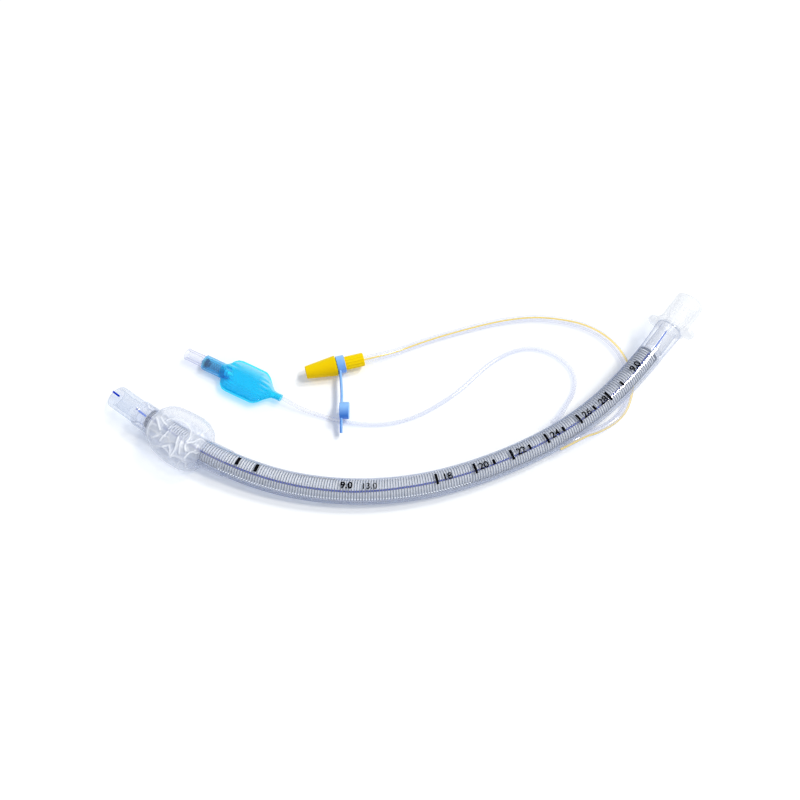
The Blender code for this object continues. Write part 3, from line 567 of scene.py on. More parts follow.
def evaluated_mesh(piece):
    """A new mesh of what a piece's curve or modifiers make."""
    bpy.context.view_layer.update()
    return bpy.data.meshes.new_from_object(piece.evaluated_get(bpy.context.evaluated_depsgraph_get()))


def plain_mesh(piece):
    """Runs a piece's modifiers for good and returns it with none left."""
    result = evaluated_mesh(piece)
    piece.modifiers.clear()
    piece.data = result
    return piece


def cut(piece, *tools, operation="DIFFERENCE", sharp=40):
    """Booleans with tools that are then deleted."""
    for tool in tools:
        step = piece.modifiers.new("cut", "BOOLEAN")
        step.operation = operation
        step.solver = "EXACT"
        step.object = tool
    plain_mesh(piece)
    for tool in tools:
        bpy.data.objects.remove(tool, do_unlink=True)
    soften(piece.data, sharp)
    return piece


def rounded(piece, width):
    """Rounds a piece's sharp edges."""
    step = piece.modifiers.new("round", "BEVEL")
    step.width = width
    step.segments = 3
    step.limit_method = "ANGLE"
    step.angle_limit = math.radians(30)
    step.harden_normals = False
    plain_mesh(piece)
    soften(piece.data)
    return piece


def put(piece, matrix):
    """Moves a piece and keeps the move in its mesh, so that its object sits at the origin."""
    piece.matrix_world = matrix
    bpy.context.view_layer.update()
    piece.data.transform(piece.matrix_world)
    piece.matrix_world = Matrix.Identity(4)
    return piece


def dress(piece, look, slot, *nodes, body="root"):
    """Gives a finished piece its material and its body, and hides the solids that it stands for."""
    piece.data.materials.clear()
    piece.data.materials.append(LOOKS[look])
    for face in piece.data.polygons:
        face.material_index = 0
    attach(piece, body)
    if nodes:
        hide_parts(*nodes)
    print(piece.name, len(piece.data.polygons), "faces")
    return piece


# %% [markdown]
# ## The free lines
#
# Two thin tubes lie loose on the table. The inflation line is 2.2 mm thick and limp, and carries air to the
# cuff; the suction line is 3.6 mm thick, a little stiffer, and has a yellow stripe down one side. Each
# follows one smooth curve through listed points, and each is a real tube with a bore. At the shaft
# both are bonded into the wall, so each runs on for some millimetres inside it.

# %% Routes and tubes
INFLATION_DIAMETER, INFLATION_BORE = 2.2, 1.1
INFLATION_ROUTE = [
    (76.0, -11.3, 7.2), (79.1, -7.9, 5.2), (82.6, -1.6, 2.8), (87.0, 6.2, 1.4), (88.8, 13.6, 1.2),
    (87.7, 20.5, 1.2), (82.9, 27.0, 1.2), (75.6, 31.9, 1.2), (65.1, 33.9, 1.2), (54.2, 30.8, 1.2),
    (45.4, 25.4, 1.2), (36.5, 17.3, 1.2), (27.8, 8.8, 1.2), (17.3, 0.9, 1.2), (6.0, -5.8, 1.2),
    (-6.1, -9.9, 1.2), (-15.3, -11.1, 1.2), (-24.7, -10.8, 1.2), (-35.1, -9.1, 1.2), (-45.6, -6.0, 1.5),
    (-56.2, -2.4, 3.1), (-62.4, 0.8, 4.2), (-69.1, 4.2, 4.4),
]
SUCTION_DIAMETER, SUCTION_BORE = 3.6, 2.0
SUCTION_ROUTE = [
    (-29.9, 23.2, 5.65), (-21.4, 25.5, 5.4), (-13.7, 28.0, 4.4), (-6.2, 30.9, 3.1), (2.6, 34.9, 2.2),
    (13.1, 39.1, 1.9), (32.6, 45.4, 1.9), (52.4, 50.5, 1.9), (70.0, 52.4, 1.9), (83.6, 51.1, 1.9),
    (96.0, 47.6, 1.9), (105.2, 42.1, 1.9), (112.3, 34.3, 1.9), (116.7, 25.0, 1.9), (118.6, 14.5, 1.9),
    (116.4, 4.4, 1.9), (113.0, -3.1, 1.9), (107.2, -9.3, 1.9), (100.7, -13.6, 2.5), (95.0, -16.9, 4.4),
    (91.2, -18.8, 6.1), (88.3, -20.5, 6.9),
]


def smooth_route(route, spacing):
    """Evenly spaced points in metres on a smooth curve through a route in millimetres."""
    given = np.array(route)
    along = np.concatenate([[0], np.cumsum(np.linalg.norm(np.diff(given, axis=0), axis=1))])
    at = np.linspace(0, along[-1], round(along[-1] / spacing) + 1)
    return np.stack([natural_spline(along, given[:, i], at) for i in range(3)], axis=1) * MM


def carried_axes(points):
    """For each point of a line, a level direction across it and one upwards."""
    tangent = np.gradient(points, axis=0)
    tangent /= np.linalg.norm(tangent, axis=1)[:, None]
    across = np.cross(tangent, [0, 0, 1])
    across /= np.linalg.norm(across, axis=1)[:, None]
    return across, np.cross(across, tangent)


def hose(name, points, outer, bore, sides=20, stripe=None):
    """A tube with an open bore along the points, in metres.

    stripe gives (share of the length, degrees) for where a stripe runs round it. Each point keeps how many
    millimetres it is away from that.
    """
    across, up = carried_axes(points)
    turn = circle(sides)[None, :, None]
    ring = across[:, None] * np.cos(turn) + up[:, None] * np.sin(turn)
    outside = points[:, None] + ring * outer * MM / 2
    inside = (points[:, None] + ring * bore * MM / 2)[::-1]
    marks = None
    if stripe:
        middle = np.radians(np.interp(np.linspace(0, 1, len(points)), *np.array(stripe).T))[:, None]
        away = np.abs((circle(sides)[None] - middle + math.pi) % (2 * math.pi) - math.pi) * outer / 2
        marks = {"stripe": np.concatenate([away, away[::-1]])}
    return skin(name, np.concatenate([outside, inside]), looped=True, marks=marks)


def route_length(points):
    return float(np.linalg.norm(np.diff(points, axis=0), axis=1).sum())


ROUTE_STEP = 1.5
INTO_THIN_WALL = [(73.6, -13.4, 8.2)]
INTO_THICK_WALL = [(85.4, -22.1, 7.1), (82.3, -23.8, 7.1), (76.7, -26.7, 6.9)]
inflation_points = smooth_route(INTO_THIN_WALL + INFLATION_ROUTE, ROUTE_STEP)
inflation = dress(
    hose("inflation_line_tube", inflation_points, INFLATION_DIAMETER, INFLATION_BORE), "line", "line_pvc",
    "inflation_line",
)
suction_points = smooth_route(SUCTION_ROUTE + INTO_THICK_WALL, ROUTE_STEP)
STRIPE_TURNS = [(0, 50), (0.1, 60), (0.4, 72), (0.5, 80), (0.6, 95), (0.75, 125), (0.85, 160), (1, 150)]
suction = dress(
    hose("suction_line_tube", suction_points, SUCTION_DIAMETER, SUCTION_BORE, 28, STRIPE_TURNS),
    "striped_line", "line_pvc", "suction_line",
)
print("inflation line", round(route_length(inflation_points), 4), "m")
print("suction line", round(route_length(suction_points), 4), "m")

# %% [markdown]
# ## The steel coil
#
# One wire, wound about 210 times at a pitch of 1.37 mm, is what keeps the tube from kinking. It repeats
# along a path, so Geometry Nodes wind it: a row of points is moved onto a helix about the centre line and a
# round wire is swept along them. Seen through the wall the coil looks wider than it is and sits nearer the
# inner side of the bend, and the helix has that width and place.

# %% Geometry Nodes helpers
def grow(name, build, source, sizes):
    """Runs Geometry Nodes on a mesh and keeps what they make as a plain mesh.

    build(graph, given) adds the nodes and returns their geometry. given holds the source as Geometry, and
    each of the sizes under its own name.
    """
    tree = bpy.data.node_groups.new(name, "GeometryNodeTree")
    kinds = {label: "Int" if isinstance(size, int) else "Float" for label, size in sizes.items()}
    for label, kind in {"Geometry": "Geometry", **kinds}.items():
        tree.interface.new_socket(label, in_out="INPUT", socket_type="NodeSocket" + kind)
    tree.interface.new_socket("Geometry", in_out="OUTPUT", socket_type="NodeSocketGeometry")
    graph = Graph(tree)
    entry = tree.nodes.new("NodeGroupInput")
    given = {socket.name: Signal(graph, socket) for socket in entry.outputs if socket.name}
    real = graph.node("GeometryNodeRealizeInstances", {"Geometry": build(graph, given)})
    smooth = graph.node("GeometryNodeSetShadeSmooth", {"Geometry": real})
    graph.node("NodeGroupOutput", {"Geometry": smooth})

    host = new_object(name + "_host", source)
    step = host.modifiers.new("grow", "NODES")
    step.node_group = tree
    for item in tree.interface.items_tree:
        if item.in_out == "INPUT" and item.name in sizes:
            step[item.identifier] = sizes[item.name]
    result = evaluated_mesh(host)
    bpy.data.objects.remove(host, do_unlink=True)
    return new_object(name, result)


def centre_mesh():
    """A chain of edges along the middle of the shaft, with a point every millimetre."""
    points = SHAFT.place(np.arange(0, 340.0), 0, 0)
    data = bpy.data.meshes.new("centre")
    data.from_pydata(points.tolist(), [(i, i + 1) for i in range(len(points) - 1)], [])
    return data


def along_line(graph, given, distance):
    """Place and axes of the given line at a distance along it: (position, tangent, side, up)."""
    line = graph.node("GeometryNodeMeshToCurve", {"Mesh": given["Geometry"]})
    sampled = graph.node("GeometryNodeSampleCurve", {"Curves": line, "Length": distance}, {"mode": "LENGTH"})
    outputs = sampled.socket.node.outputs
    position, tangent = Signal(graph, outputs["Position"]), Signal(graph, outputs["Tangent"])
    side = graph.vectors("NORMALIZE", graph.vectors("CROSS_PRODUCT", tangent, (0, 0, 1)))
    return position, tangent, side, graph.vectors("CROSS_PRODUCT", side, tangent)


def stepped(graph, given):
    """Distances that start at First and grow by Step with each point."""
    return given["First"] + graph.node("GeometryNodeInputIndex") * given["Step"]


def row_at(graph, given, position):
    """A row of points moved to the places that position gives."""
    row = graph.node("GeometryNodeMeshLine", {"Count": given["Count"]}, {"mode": "OFFSET"})
    return graph.node("GeometryNodeSetPosition", {"Geometry": row, "Position": position})


def row_round(graph, given, distance, angle):
    """A row of points, each at a distance along the given line and at an angle round it."""
    position, _, side, up = along_line(graph, given, distance)
    across = graph.maths("COSINE", angle) * given["Radius"] - given["Shift"]
    rise = graph.maths("SINE", angle) * given["Radius"]
    for direction, amount in ((side, across), (up, rise)):
        step = graph.node("ShaderNodeVectorMath", {0: direction, "Scale": amount}, {"operation": "SCALE"})
        position = graph.vectors("ADD", position, step)
    return row_at(graph, given, position)


def swept(graph, curve, radius, sides=8):
    """A round bar along a curve, with closed ends."""
    ring = graph.node("GeometryNodeCurvePrimitiveCircle", {"Resolution": sides, "Radius": radius})
    return graph.node("GeometryNodeCurveToMesh", {
        "Curve": curve, "Profile Curve": ring, "Fill Caps": True,
    })


# %% Coil
COIL_START, COIL_END = 28.3, 318.2
COIL_PITCH = 1.366
COIL_CENTRE_RADIUS = 5.2
WIRE_RADIUS = 0.23
COIL_SHIFT = 0.72
COIL_CORNERS = 28
CLOSED_TURNS = 3

closed_pitch = 2 * WIRE_RADIUS + 0.04
open_turns = round((COIL_END - COIL_START - 2 * CLOSED_TURNS * closed_pitch) / COIL_PITCH)


def wound_wire(graph, given):
    turn = graph.node("GeometryNodeInputIndex") / given["Corners"]
    opened = graph.maths("MAXIMUM", turn - given["Closed Turns"], 0.0)
    spread = graph.maths("MINIMUM", opened, given["Open Turns"])
    distance = given["Start"] + given["Pitch"] * spread + given["Closed Pitch"] * (turn - spread)
    wound = row_round(graph, given, distance, turn * (2 * math.pi))
    return swept(graph, graph.node("GeometryNodeMeshToCurve", {"Mesh": wound}), given["Wire"])


coil = grow("reinforcing_coil", wound_wire, centre_mesh(), {
    "Start": COIL_START * MM, "Pitch": COIL_PITCH * MM, "Closed Pitch": closed_pitch * MM,
    "Closed Turns": float(CLOSED_TURNS), "Open Turns": float(open_turns), "Radius": COIL_CENTRE_RADIUS * MM,
    "Shift": COIL_SHIFT * MM, "Wire": WIRE_RADIUS * MM, "Corners": float(COIL_CORNERS),
    "Count": (open_turns + 2 * CLOSED_TURNS) * COIL_CORNERS + 1,
})
dress(coil, "coil", "coil_steel", "reinforcing_wire")

# %% [markdown]
# ## The shaft's two walls
#
# The liner is a plain thin tube inside the coil. The jacket is what is touched: a chamber round the coil, a
# flared end for the connector, and a suction channel in its thick side. The channel is cut out of the
# finished wall with a Boolean, as the real one is a hole in the extrusion, and a window opens it: the
# suction eye behind the cuff.

# %% Jacket and liner
JACKET_START, JACKET_END = 20.76, 336.0
CHAMBER_START, CHAMBER_END = 28.0, 318.5
CHAMBER_RADIUS = 5.928
CHAMBER_SHIFT = 0.3
BORE_RADIUS = 4.5
STEM_RADIUS, STEM_LENGTH = 4.9, 14.5
FLARE, FLARE_STARTS = 0.8, 321.0
SHAFT_SIDES = 48
TIP_END = 20.7
TIP_RADIUS = SHAFT_RADIUS - 0.3
SCARF = 2.6
CHANNEL_WIDTH, CHANNEL_DEPTH = 1.4, 0.42
EYE_START, EYE_LENGTH = 76.5, 3.4
CHANNEL_LENGTH = 181.0


def rings_along(stations, radii, shift=0.0, sides=SHAFT_SIDES):
    """Rings across the shaft, one for each station and radius."""
    turn = circle(sides)[None]
    radii = np.broadcast_to(radii, np.shape(stations))[:, None]
    shift = np.broadcast_to(shift, np.shape(stations))[:, None]
    return SHAFT.around(np.asarray(stations)[:, None], radii, turn, shift)


def wall_channel(start, end, inner, outer, half_width):
    """A cutter along the thick side of the wall."""
    stations = np.linspace(start, end, max(2, round((end - start) / 4)))
    across = np.array([inner, outer, outer, inner])[None]
    rise = np.array([-1, -1, 1, 1])[None] * half_width
    return skin("channel_cutter", SHAFT.place(stations[:, None], across, rise), capped=True)


def jacket_tube():
    start_round = np.array([[0, -0.35], [0.15, -0.12], [0.5, 0]])
    stations = np.concatenate([
        JACKET_START + start_round[:, 0], np.arange(23, 318, 2.5), np.arange(319, 336.2, 2),
    ])
    flare = np.clip((stations - FLARE_STARTS) / (JACKET_END - FLARE_STARTS), 0, 1)
    radii = SHAFT_RADIUS + FLARE * flare**1.3
    radii[:3] += start_round[:, 1]
    stations[-1] = JACKET_END
    outside = rings_along(stations, radii)
    rim = rings_along([JACKET_END], [SHAFT_RADIUS + FLARE - 0.15])
    stem = JACKET_END - STEM_LENGTH
    inner_path = [
        (JACKET_END, STEM_RADIUS + 0.15, 0), (JACKET_END - 0.3, STEM_RADIUS, 0), (stem, STEM_RADIUS, 0),
        (stem - 0.4, BORE_RADIUS, 0.3), (CHAMBER_END, BORE_RADIUS, 0.3),
    ]
    inner_path += [(s, CHAMBER_RADIUS, CHAMBER_SHIFT) for s in np.arange(CHAMBER_END, CHAMBER_START, -2.5)]
    inner_path += [
        (CHAMBER_START, CHAMBER_RADIUS, CHAMBER_SHIFT), (CHAMBER_START, BORE_RADIUS, 0.3),
        (JACKET_START + SCARF, BORE_RADIUS, 0), (JACKET_START + 0.03, TIP_RADIUS - 0.06, 0),
    ]
    path = np.array(inner_path)
    inside = rings_along(path[:, 0], path[:, 1], path[:, 2])
    jacket = skin("shaft_jacket_tube", np.concatenate([outside, rim, inside]), looped=True)
    middle = (CHAMBER_RADIUS - CHAMBER_SHIFT + SHAFT_RADIUS) / 2
    inner, outer, half = middle - CHANNEL_DEPTH / 2, middle + CHANNEL_DEPTH / 2, CHANNEL_WIDTH / 2
    channel_end = EYE_START + CHANNEL_LENGTH
    cut(
        jacket,
        wall_channel(EYE_START, channel_end, inner, outer, half),
        wall_channel(EYE_START, EYE_START + EYE_LENGTH, middle, SHAFT_RADIUS + 1, half * 1.2),
    )
    return jacket


def liner_tube():
    stations = np.arange(CHAMBER_START + 0.3, CHAMBER_END, 3.0)
    outside = rings_along(stations, 4.7, 0.6, 32)
    inside = rings_along(stations[::-1], BORE_RADIUS, 0.6, 32)
    return skin("shaft_liner_tube", np.concatenate([outside, inside]), looped=True)


dress(jacket_tube(), "jacket", "clear_pvc", "shaft_jacket")
dress(liner_tube(), "liner", "clear_pvc", "shaft_liner")

# %% [markdown]
# ## The soft tip
#
# The tip is bonded to the front of the shaft. Its opening is a slanted plane whose long lip lies
# underneath, with a rounded edge all round, and a second opening in its lower wall keeps air passing if the
# first is blocked. Its rings lean from the slant to square, so the wall has no step, and its joint with the
# jacket is ground to a slant through the wall, so that no edge shows.

# %% Tip
BEVEL_START, BEVEL_LENGTH, BEVEL_SKEW = -1.9, 14.2, 0.96
LIP = 0.6
SIDE_EYE_AT, SIDE_EYE_LENGTH, SIDE_EYE_WIDTH = 15.4, 5.6, 4.4


def bevel_tip():
    sides = 72
    turn = circle(sides)[None]
    lip_turn = np.radians([0, 25, 50, 75, 90])
    path = [(TIP_RADIUS, share, 0.0) for share in np.linspace(1, 0.06, 7)]
    path += [(TIP_RADIUS - LIP * (1 - math.cos(a)), 0.0, LIP * (1 - math.sin(a))) for a in lip_turn]
    inner_round = LIP / 2
    path += [
        (BORE_RADIUS + inner_round * (1 - math.sin(a)), 0.0, inner_round * (1 - math.cos(a)))
        for a in lip_turn
    ]
    path += [(BORE_RADIUS, share, 0.0) for share in np.linspace(0.06, 1, 7)]
    radius, share, setback = (column[:, None] for column in np.array(path).T)
    slant = BEVEL_START + BEVEL_LENGTH * (1 + radius * np.sin(turn) / TIP_RADIUS) / 2 + setback
    slant = slant + BEVEL_SKEW * np.cos(turn)
    end = TIP_END + SCARF * (TIP_RADIUS - radius) / (TIP_RADIUS - BORE_RADIUS)
    along = slant + (end - slant) * share
    tip = skin("soft_tip", SHAFT.around(along, radius, turn), looped=True, sharp=50)
    spin = circle(32)[None]
    depth = np.array([[-3.0], [-TIP_RADIUS * 1.4]])
    eye = skin(
        "eye_cutter",
        SHAFT.place(
            SIDE_EYE_AT + SIDE_EYE_LENGTH / 2 * np.cos(spin) + 0 * depth,
            SIDE_EYE_WIDTH / 2 * np.sin(spin),
            depth,
        ),
        capped=True,
    )
    return cut(tip, eye, sharp=50)


dress(bevel_tip(), "tip", "clear_pvc", "bevel_tip")

# %% [markdown]
# ## The cuff
#
# The cuff is a bag of very thin film, half blown up. The side on the inner bend stands out smooth and
# round; the rest has sunk and crumpled into sharp ridges that catch the light. Its outline follows the
# measured widths on both sides of the shaft, and the crumples are ridges along chosen creases, with finer
# gathers where the film meets its collars.

# %% Cuff
BODY_START, BODY_END = 30.5, 63.5
COLLAR_START, CUFF_END = 21.6, 76.0
COLLAR_RADIUS = 6.85
CUFF_FILM = 0.15
CUFF_TOP, CUFF_BOTTOM = 11.7, 10.5
LENGTHWISE_SHAPE, CROSS_SHAPE = 3.2, 2.3
SWELL_DELAY = 1.6
# RIDGE_WHITE is how wide the white runs along a crease, partly a painted highlight.
RIDGE_REACH, RIDGE_WHITE = 0.75, 0.32
INNER_SIDE = [
    (30.5, 6.9), (32, 7.4), (33, 9.4), (35, 12.0), (39, 13.8), (46, 14.7), (53, 14.9), (57, 14.1), (61, 11.8),
    (63, 8.6), (63.5, 6.9),
]
OUTER_SIDE = [
    (30.5, 6.9), (32, 7.6), (34, 9.2), (37, 11.0), (40, 12.3), (44, 13.2), (49, 13.7), (55, 13.7), (58, 13.1),
    (62, 10.6), (63.5, 6.9),
]
CREASES = [
    (0.8, [(34.3, 78), (35.1, 52), (36.2, 33), (40.7, 24)]),
    (0.5, [(40.7, 24), (46.8, 42), (52.0, 35), (56.0, 38), (59.3, 37)]),
    (1.0, [(35.7, 91), (38.3, 82), (41.3, 71)]),
    (0.6, [(37.2, 99), (40.0, 92), (42.2, 89)]),
    (0.6, [(39.1, 42), (41.8, 56)]),
    (0.8, [(44.2, 50), (44.9, 67), (45.3, 77)]),
    (0.7, [
        (41.3, 99), (42.4, 107), (44.9, 114), (48.3, 116), (52.1, 114), (54.9, 107), (56.3, 93), (56.4, 79),
    ]),
    (0.5, [(44.7, 84), (44.9, 91), (47.6, 98)]),
    (1.0, [(51.5, 78), (52.3, 63), (53.3, 51), (52.8, 34)]),
    (0.7, [(53.7, 73), (54.7, 59), (55.8, 47)]),
    (0.7, [(56.1, 77), (56.9, 65), (58.2, 58)]),
    (0.7, [(46.8, 42), (49.4, 51), (51.5, 41), (52.1, 33)]),
    (1.0, [(59.0, 42), (59.8, 57), (61.1, 63), (62.4, 62), (63.4, 67)]),
    (0.6, [(56.9, 76), (59.1, 87), (60.9, 104), (63.4, 107)]),
    (0.5, [(56.2, 4), (56.6, 23), (58.2, 34), (60.0, 29), (60.0, 16)]),
    (0.25, [(59.8, 113), (60.3, 134), (59.9, 154)]),
]


def swell(along):
    """How far the film stands out from its collars, from 0 to 1 at full width."""
    t = np.clip((along - BODY_START - SWELL_DELAY) / (BODY_END - BODY_START - SWELL_DELAY), 0, 1)
    return (1 - np.abs(2 * t - 1) ** LENGTHWISE_SHAPE) ** (1 / LENGTHWISE_SHAPE)


def away_from(along, angle, crease):
    """Distance over the film, in millimetres, from a line through (distance, degrees) points."""
    scale = 10.5 * math.pi / 180
    spot = np.stack([along, np.degrees(angle) * scale + 0 * along], axis=-1)
    knots = np.array(crease) * [1, scale]
    nearest = np.full(along.shape, 99.0)
    for a, b in zip(knots[:-1], knots[1:]):
        run = b - a
        share = np.clip(((spot - a) @ run) / (run @ run), 0, 1)
        nearest = np.minimum(nearest, np.linalg.norm(spot - a - share[..., None] * run, axis=-1))
    return nearest


def crumple(along, angle):
    """Random facets: how near each point is to a facet's edge, and each facet's own number from 0 to 1."""
    edge, number = np.zeros(along.size), np.zeros(along.size)
    for i, (a, t) in enumerate(zip(along.ravel(), np.broadcast_to(angle, along.shape).ravel())):
        spot = Vector((a * 0.14, math.cos(t) * 1.5, math.sin(t) * 1.5))
        spot += noise.noise_vector(spot * 0.9) * 0.4
        gaps, seeds = noise.voronoi(spot)
        edge[i] = math.exp(-(((gaps[1] - gaps[0]) / 0.11) ** 2))
        number[i] = abs(math.sin(seeds[0].dot(Vector((12.9, 78.2, 37.7)))))
    return edge.reshape(along.shape), number.reshape(along.shape)


def cuff_grid(inset):
    body = np.linspace(BODY_START, BODY_END, 130)
    stations = np.concatenate([[COLLAR_START, 26.0], body, [70.0, CUFF_END]])
    angle = circle(210)[None]
    along = stations[:, None] + 0 * angle
    outer, inner = (
        np.interp(along, *np.array(side).T, left=COLLAR_RADIUS, right=COLLAR_RADIUS)
        for side in (OUTER_SIDE, INNER_SIDE)
    )
    share = swell(along)
    wide = np.where(np.cos(angle) > 0, outer, inner)
    top = COLLAR_RADIUS + (CUFF_TOP - COLLAR_RADIUS) * share
    bottom = COLLAR_RADIUS + (CUFF_BOTTOM - COLLAR_RADIUS) * share
    tall = np.where(np.sin(angle) > 0, top, bottom)
    reach = (np.abs(np.cos(angle)) / wide) ** CROSS_SHAPE + (np.abs(np.sin(angle)) / tall) ** CROSS_SHAPE
    reach = reach ** (-1 / CROSS_SHAPE)
    degrees = (np.degrees(angle) + 90) % 360 - 90 + 0 * along
    crumpled = share / (1 + np.exp((degrees - 121) / 5)) / (1 + np.exp((36 - degrees) / 6))
    edge, number = crumple(along, angle)
    # fold is white along facet edges and creases, partly the film's own whiteness and partly a painted
    # highlight.
    fold = 0.14 * edge * crumpled
    reach = reach + crumpled * (0.25 * edge - 0.9 + 0.5 * number)
    for height, crease in CREASES:
        away = away_from(along, np.radians(degrees), crease)
        fold = np.maximum(fold, min(1.0, height + 0.15) * np.exp(-((away / RIDGE_WHITE) ** 2)) * share)
        reach = reach + height * np.exp(-((away / RIDGE_REACH) ** 2)) * share
    front, rear = (np.exp(-((along - end) / 4.0) ** 2) for end in (BODY_START, BODY_END))
    gathers = np.cos(angle * 17 + 0.8 * np.sin(along * 0.5)) * front * 0.3
    gathers += np.cos(angle * 15 + 0.5 * np.sin(along * 0.6)) * rear * 0.25
    reach = reach + gathers * share - inset
    dome = np.exp(-(((along - 49) / 6.5) ** 4) - ((degrees - 97) / 16) ** 4)
    cover = np.clip(crumpled * (1 - 0.85 * dome), 0, 1) + 0.35 * share * (1 - crumpled) * (degrees < 60)
    spots = SHAFT.around(along, reach, angle)
    spots[..., 2] = np.maximum(spots[..., 2], (0.05 + inset) * MM)
    # Painted shade: each crumpled facet takes its own tone from its number; the film outside the crumples
    # stays at the pale tone.
    shade = number * crumpled + 1 - crumpled
    return spots, {"fold": np.clip(fold, 0, 1), "cover": np.clip(cover, 0, 1), "shade": shade}


def cuff_film():
    (outside, outer_marks), (inside, inner_marks) = cuff_grid(0), cuff_grid(CUFF_FILM)
    both = {name: np.concatenate([outer_marks[name], 0 * inner_marks[name]]) for name in outer_marks}
    return skin("cuff_balloon", np.concatenate([outside, inside[::-1]]), looped=True, sharp=60, marks=both)


dress(cuff_film(), "film", "cuff_film", "cuff")

# %% [markdown]
# ## The connector
#
# The hard end piece is one moulding: a 15 mm male cone, a stem inside the tube, and a flange with two ears
# that a strap or a thumb can hold. The cone and stem are one turned profile and the flange an outline with
# round ends, hollowed a little on each ear, and a union makes them one body.

# %% Connector
FLANGE_GAP, FLANGE_THICKNESS, FLANGE_RADIUS = 0.3, 2.4, 8.6
EAR_SPAN, EAR_WIDTH, EAR_ROLL = 27.2, 8.6, math.radians(25)
CONE_LENGTH, CONE_BASE, CONE_RIM, CONE_WALL = 16.5, 15.7, 15.4, 1.35


def turned(name, profile, sides=48, sharp=35):
    """A closed profile of (along, radius) pairs in millimetres, spun about the Z axis."""
    profile = np.array(profile, float)
    turn = circle(sides)[None]
    radius, along = profile[:, 1:2], profile[:, 0:1]
    grid = np.stack([radius * np.cos(turn), radius * np.sin(turn), along + 0 * turn], axis=-1) * MM
    return skin(name, grid, looped=True, sharp=sharp)


def axes_matrix(origin, along, side):
    """Places a piece at origin with its Z axis along and its X axis to side."""
    along, side = Vector(along), Vector(side)
    return Matrix.Translation(Vector(origin)) @ Matrix((side, along.cross(side), along)).transposed().to_4x4()


HOLLOW_AT, HOLLOW_SIZE = 10.2, (2.9, 3.3, 1.1)


def connector_piece():
    base = FLANGE_GAP + FLANGE_THICKNESS
    rim = base + CONE_LENGTH
    stem_end = FLANGE_GAP - STEM_LENGTH
    stem_bore, mouth = STEM_RADIUS - 1.0, CONE_RIM / 2 - CONE_WALL
    outer_rim = [
        (rim - 0.4 + 0.4 * math.sin(a), CONE_RIM / 2 - 0.4 + 0.4 * math.cos(a))
        for a in np.radians([0, 30, 60, 90])
    ]
    cone = turned("connector_cone", [
        (stem_end, stem_bore), (stem_end, STEM_RADIUS - 0.35), (stem_end + 0.7, STEM_RADIUS - 0.02),
        (FLANGE_GAP + 0.8, STEM_RADIUS - 0.02), (FLANGE_GAP + 0.8, CONE_BASE / 2), *outer_rim,
        (rim, mouth + 0.3), (rim - 0.3, mouth), (base + 4.0, mouth - 0.3), (base - 2.0, stem_bore),
    ], 72)
    half = EAR_WIDTH / 2
    reach = EAR_SPAN / 2 - half
    disc_end = math.asin(half / FLANGE_RADIUS)
    ear = np.radians(np.linspace(-90, 90, 19))
    disc = np.linspace(disc_end, math.pi - disc_end, 19)
    side = [(reach + half * math.cos(a), half * math.sin(a)) for a in ear]
    side += [(FLANGE_RADIUS * math.cos(a), FLANGE_RADIUS * math.sin(a)) for a in disc]
    outline = np.array(side + [(-x, -y) for x, y in side])
    levels = [FLANGE_GAP, base]
    plate = skin("flange", np.stack([
        np.column_stack([outline, np.full(len(outline), z)]) * MM for z in levels
    ]), capped=True)
    rounded(plate, 0.45 * MM)
    hollows = []
    for x in (-1, 1):
        ball = new_object("hollow_cutter", bpy.data.meshes.new("hollow"))
        with edited(ball.data) as shape:
            bmesh.ops.create_uvsphere(shape, u_segments=32, v_segments=16, radius=1)
        middle = Matrix.Translation((x * HOLLOW_AT * MM, 0, (base + 0.5) * MM))
        hollows.append(put(ball, middle @ Matrix.Diagonal((*(size * MM for size in HOLLOW_SIZE), 1))))
    hole = turned("hole_cutter", [(-3, 0), (-3, stem_bore + 0.3), (6, stem_bore + 0.3), (6, 0)], 48)
    cut(plate, hole, *hollows)
    cut(cone, plate, operation="UNION", sharp=30)
    along = Vector(SHAFT.place(JACKET_END, 0, 0) - SHAFT.place(JACKET_END - STEM_LENGTH, 0, 0)).normalized()
    side = along.cross(Vector((0, 0, 1))).normalized()
    ears = side * math.cos(EAR_ROLL) + side.cross(along) * math.sin(EAR_ROLL)
    return put(cone, axes_matrix(SHAFT.place(JACKET_END, 0, 0), along, ears))


dress(connector_piece(), "connector", "connector_plastic", "connector_15mm")


def bond_arc(name, low, high):
    """A thin dark arc round the rim of the flared end, from low to high degrees."""
    turn = np.radians(np.linspace(low, high, 24))[:, None]
    along, reach = np.array([[335.6, 335.6, 335.95, 335.95], [0.0, 0.12, 0.12, 0.0]])
    reach = SHAFT_RADIUS + FLARE + reach
    return skin(name, SHAFT.around(along[None], reach, turn), capped=True)


# Thin dark arcs over part of the rim of the flared end.
dress(bond_arc("bond_line_outer", 38, 88), "dark_rim", "clear_pvc")
dress(bond_arc("bond_line_inner", 99, 150), "dark_rim", "clear_pvc")

# %% [markdown]
# ## The pilot balloon and its valve
#
# The pouch is two sheets of blue film welded at their edges, so it is fat in the middle and ends in a thin
# flat seam. The valve beyond it is a hard barrel with a spring and a dark plunger to be seen inside, and a
# clear inlet that a syringe fits. All of them share one straight axis.

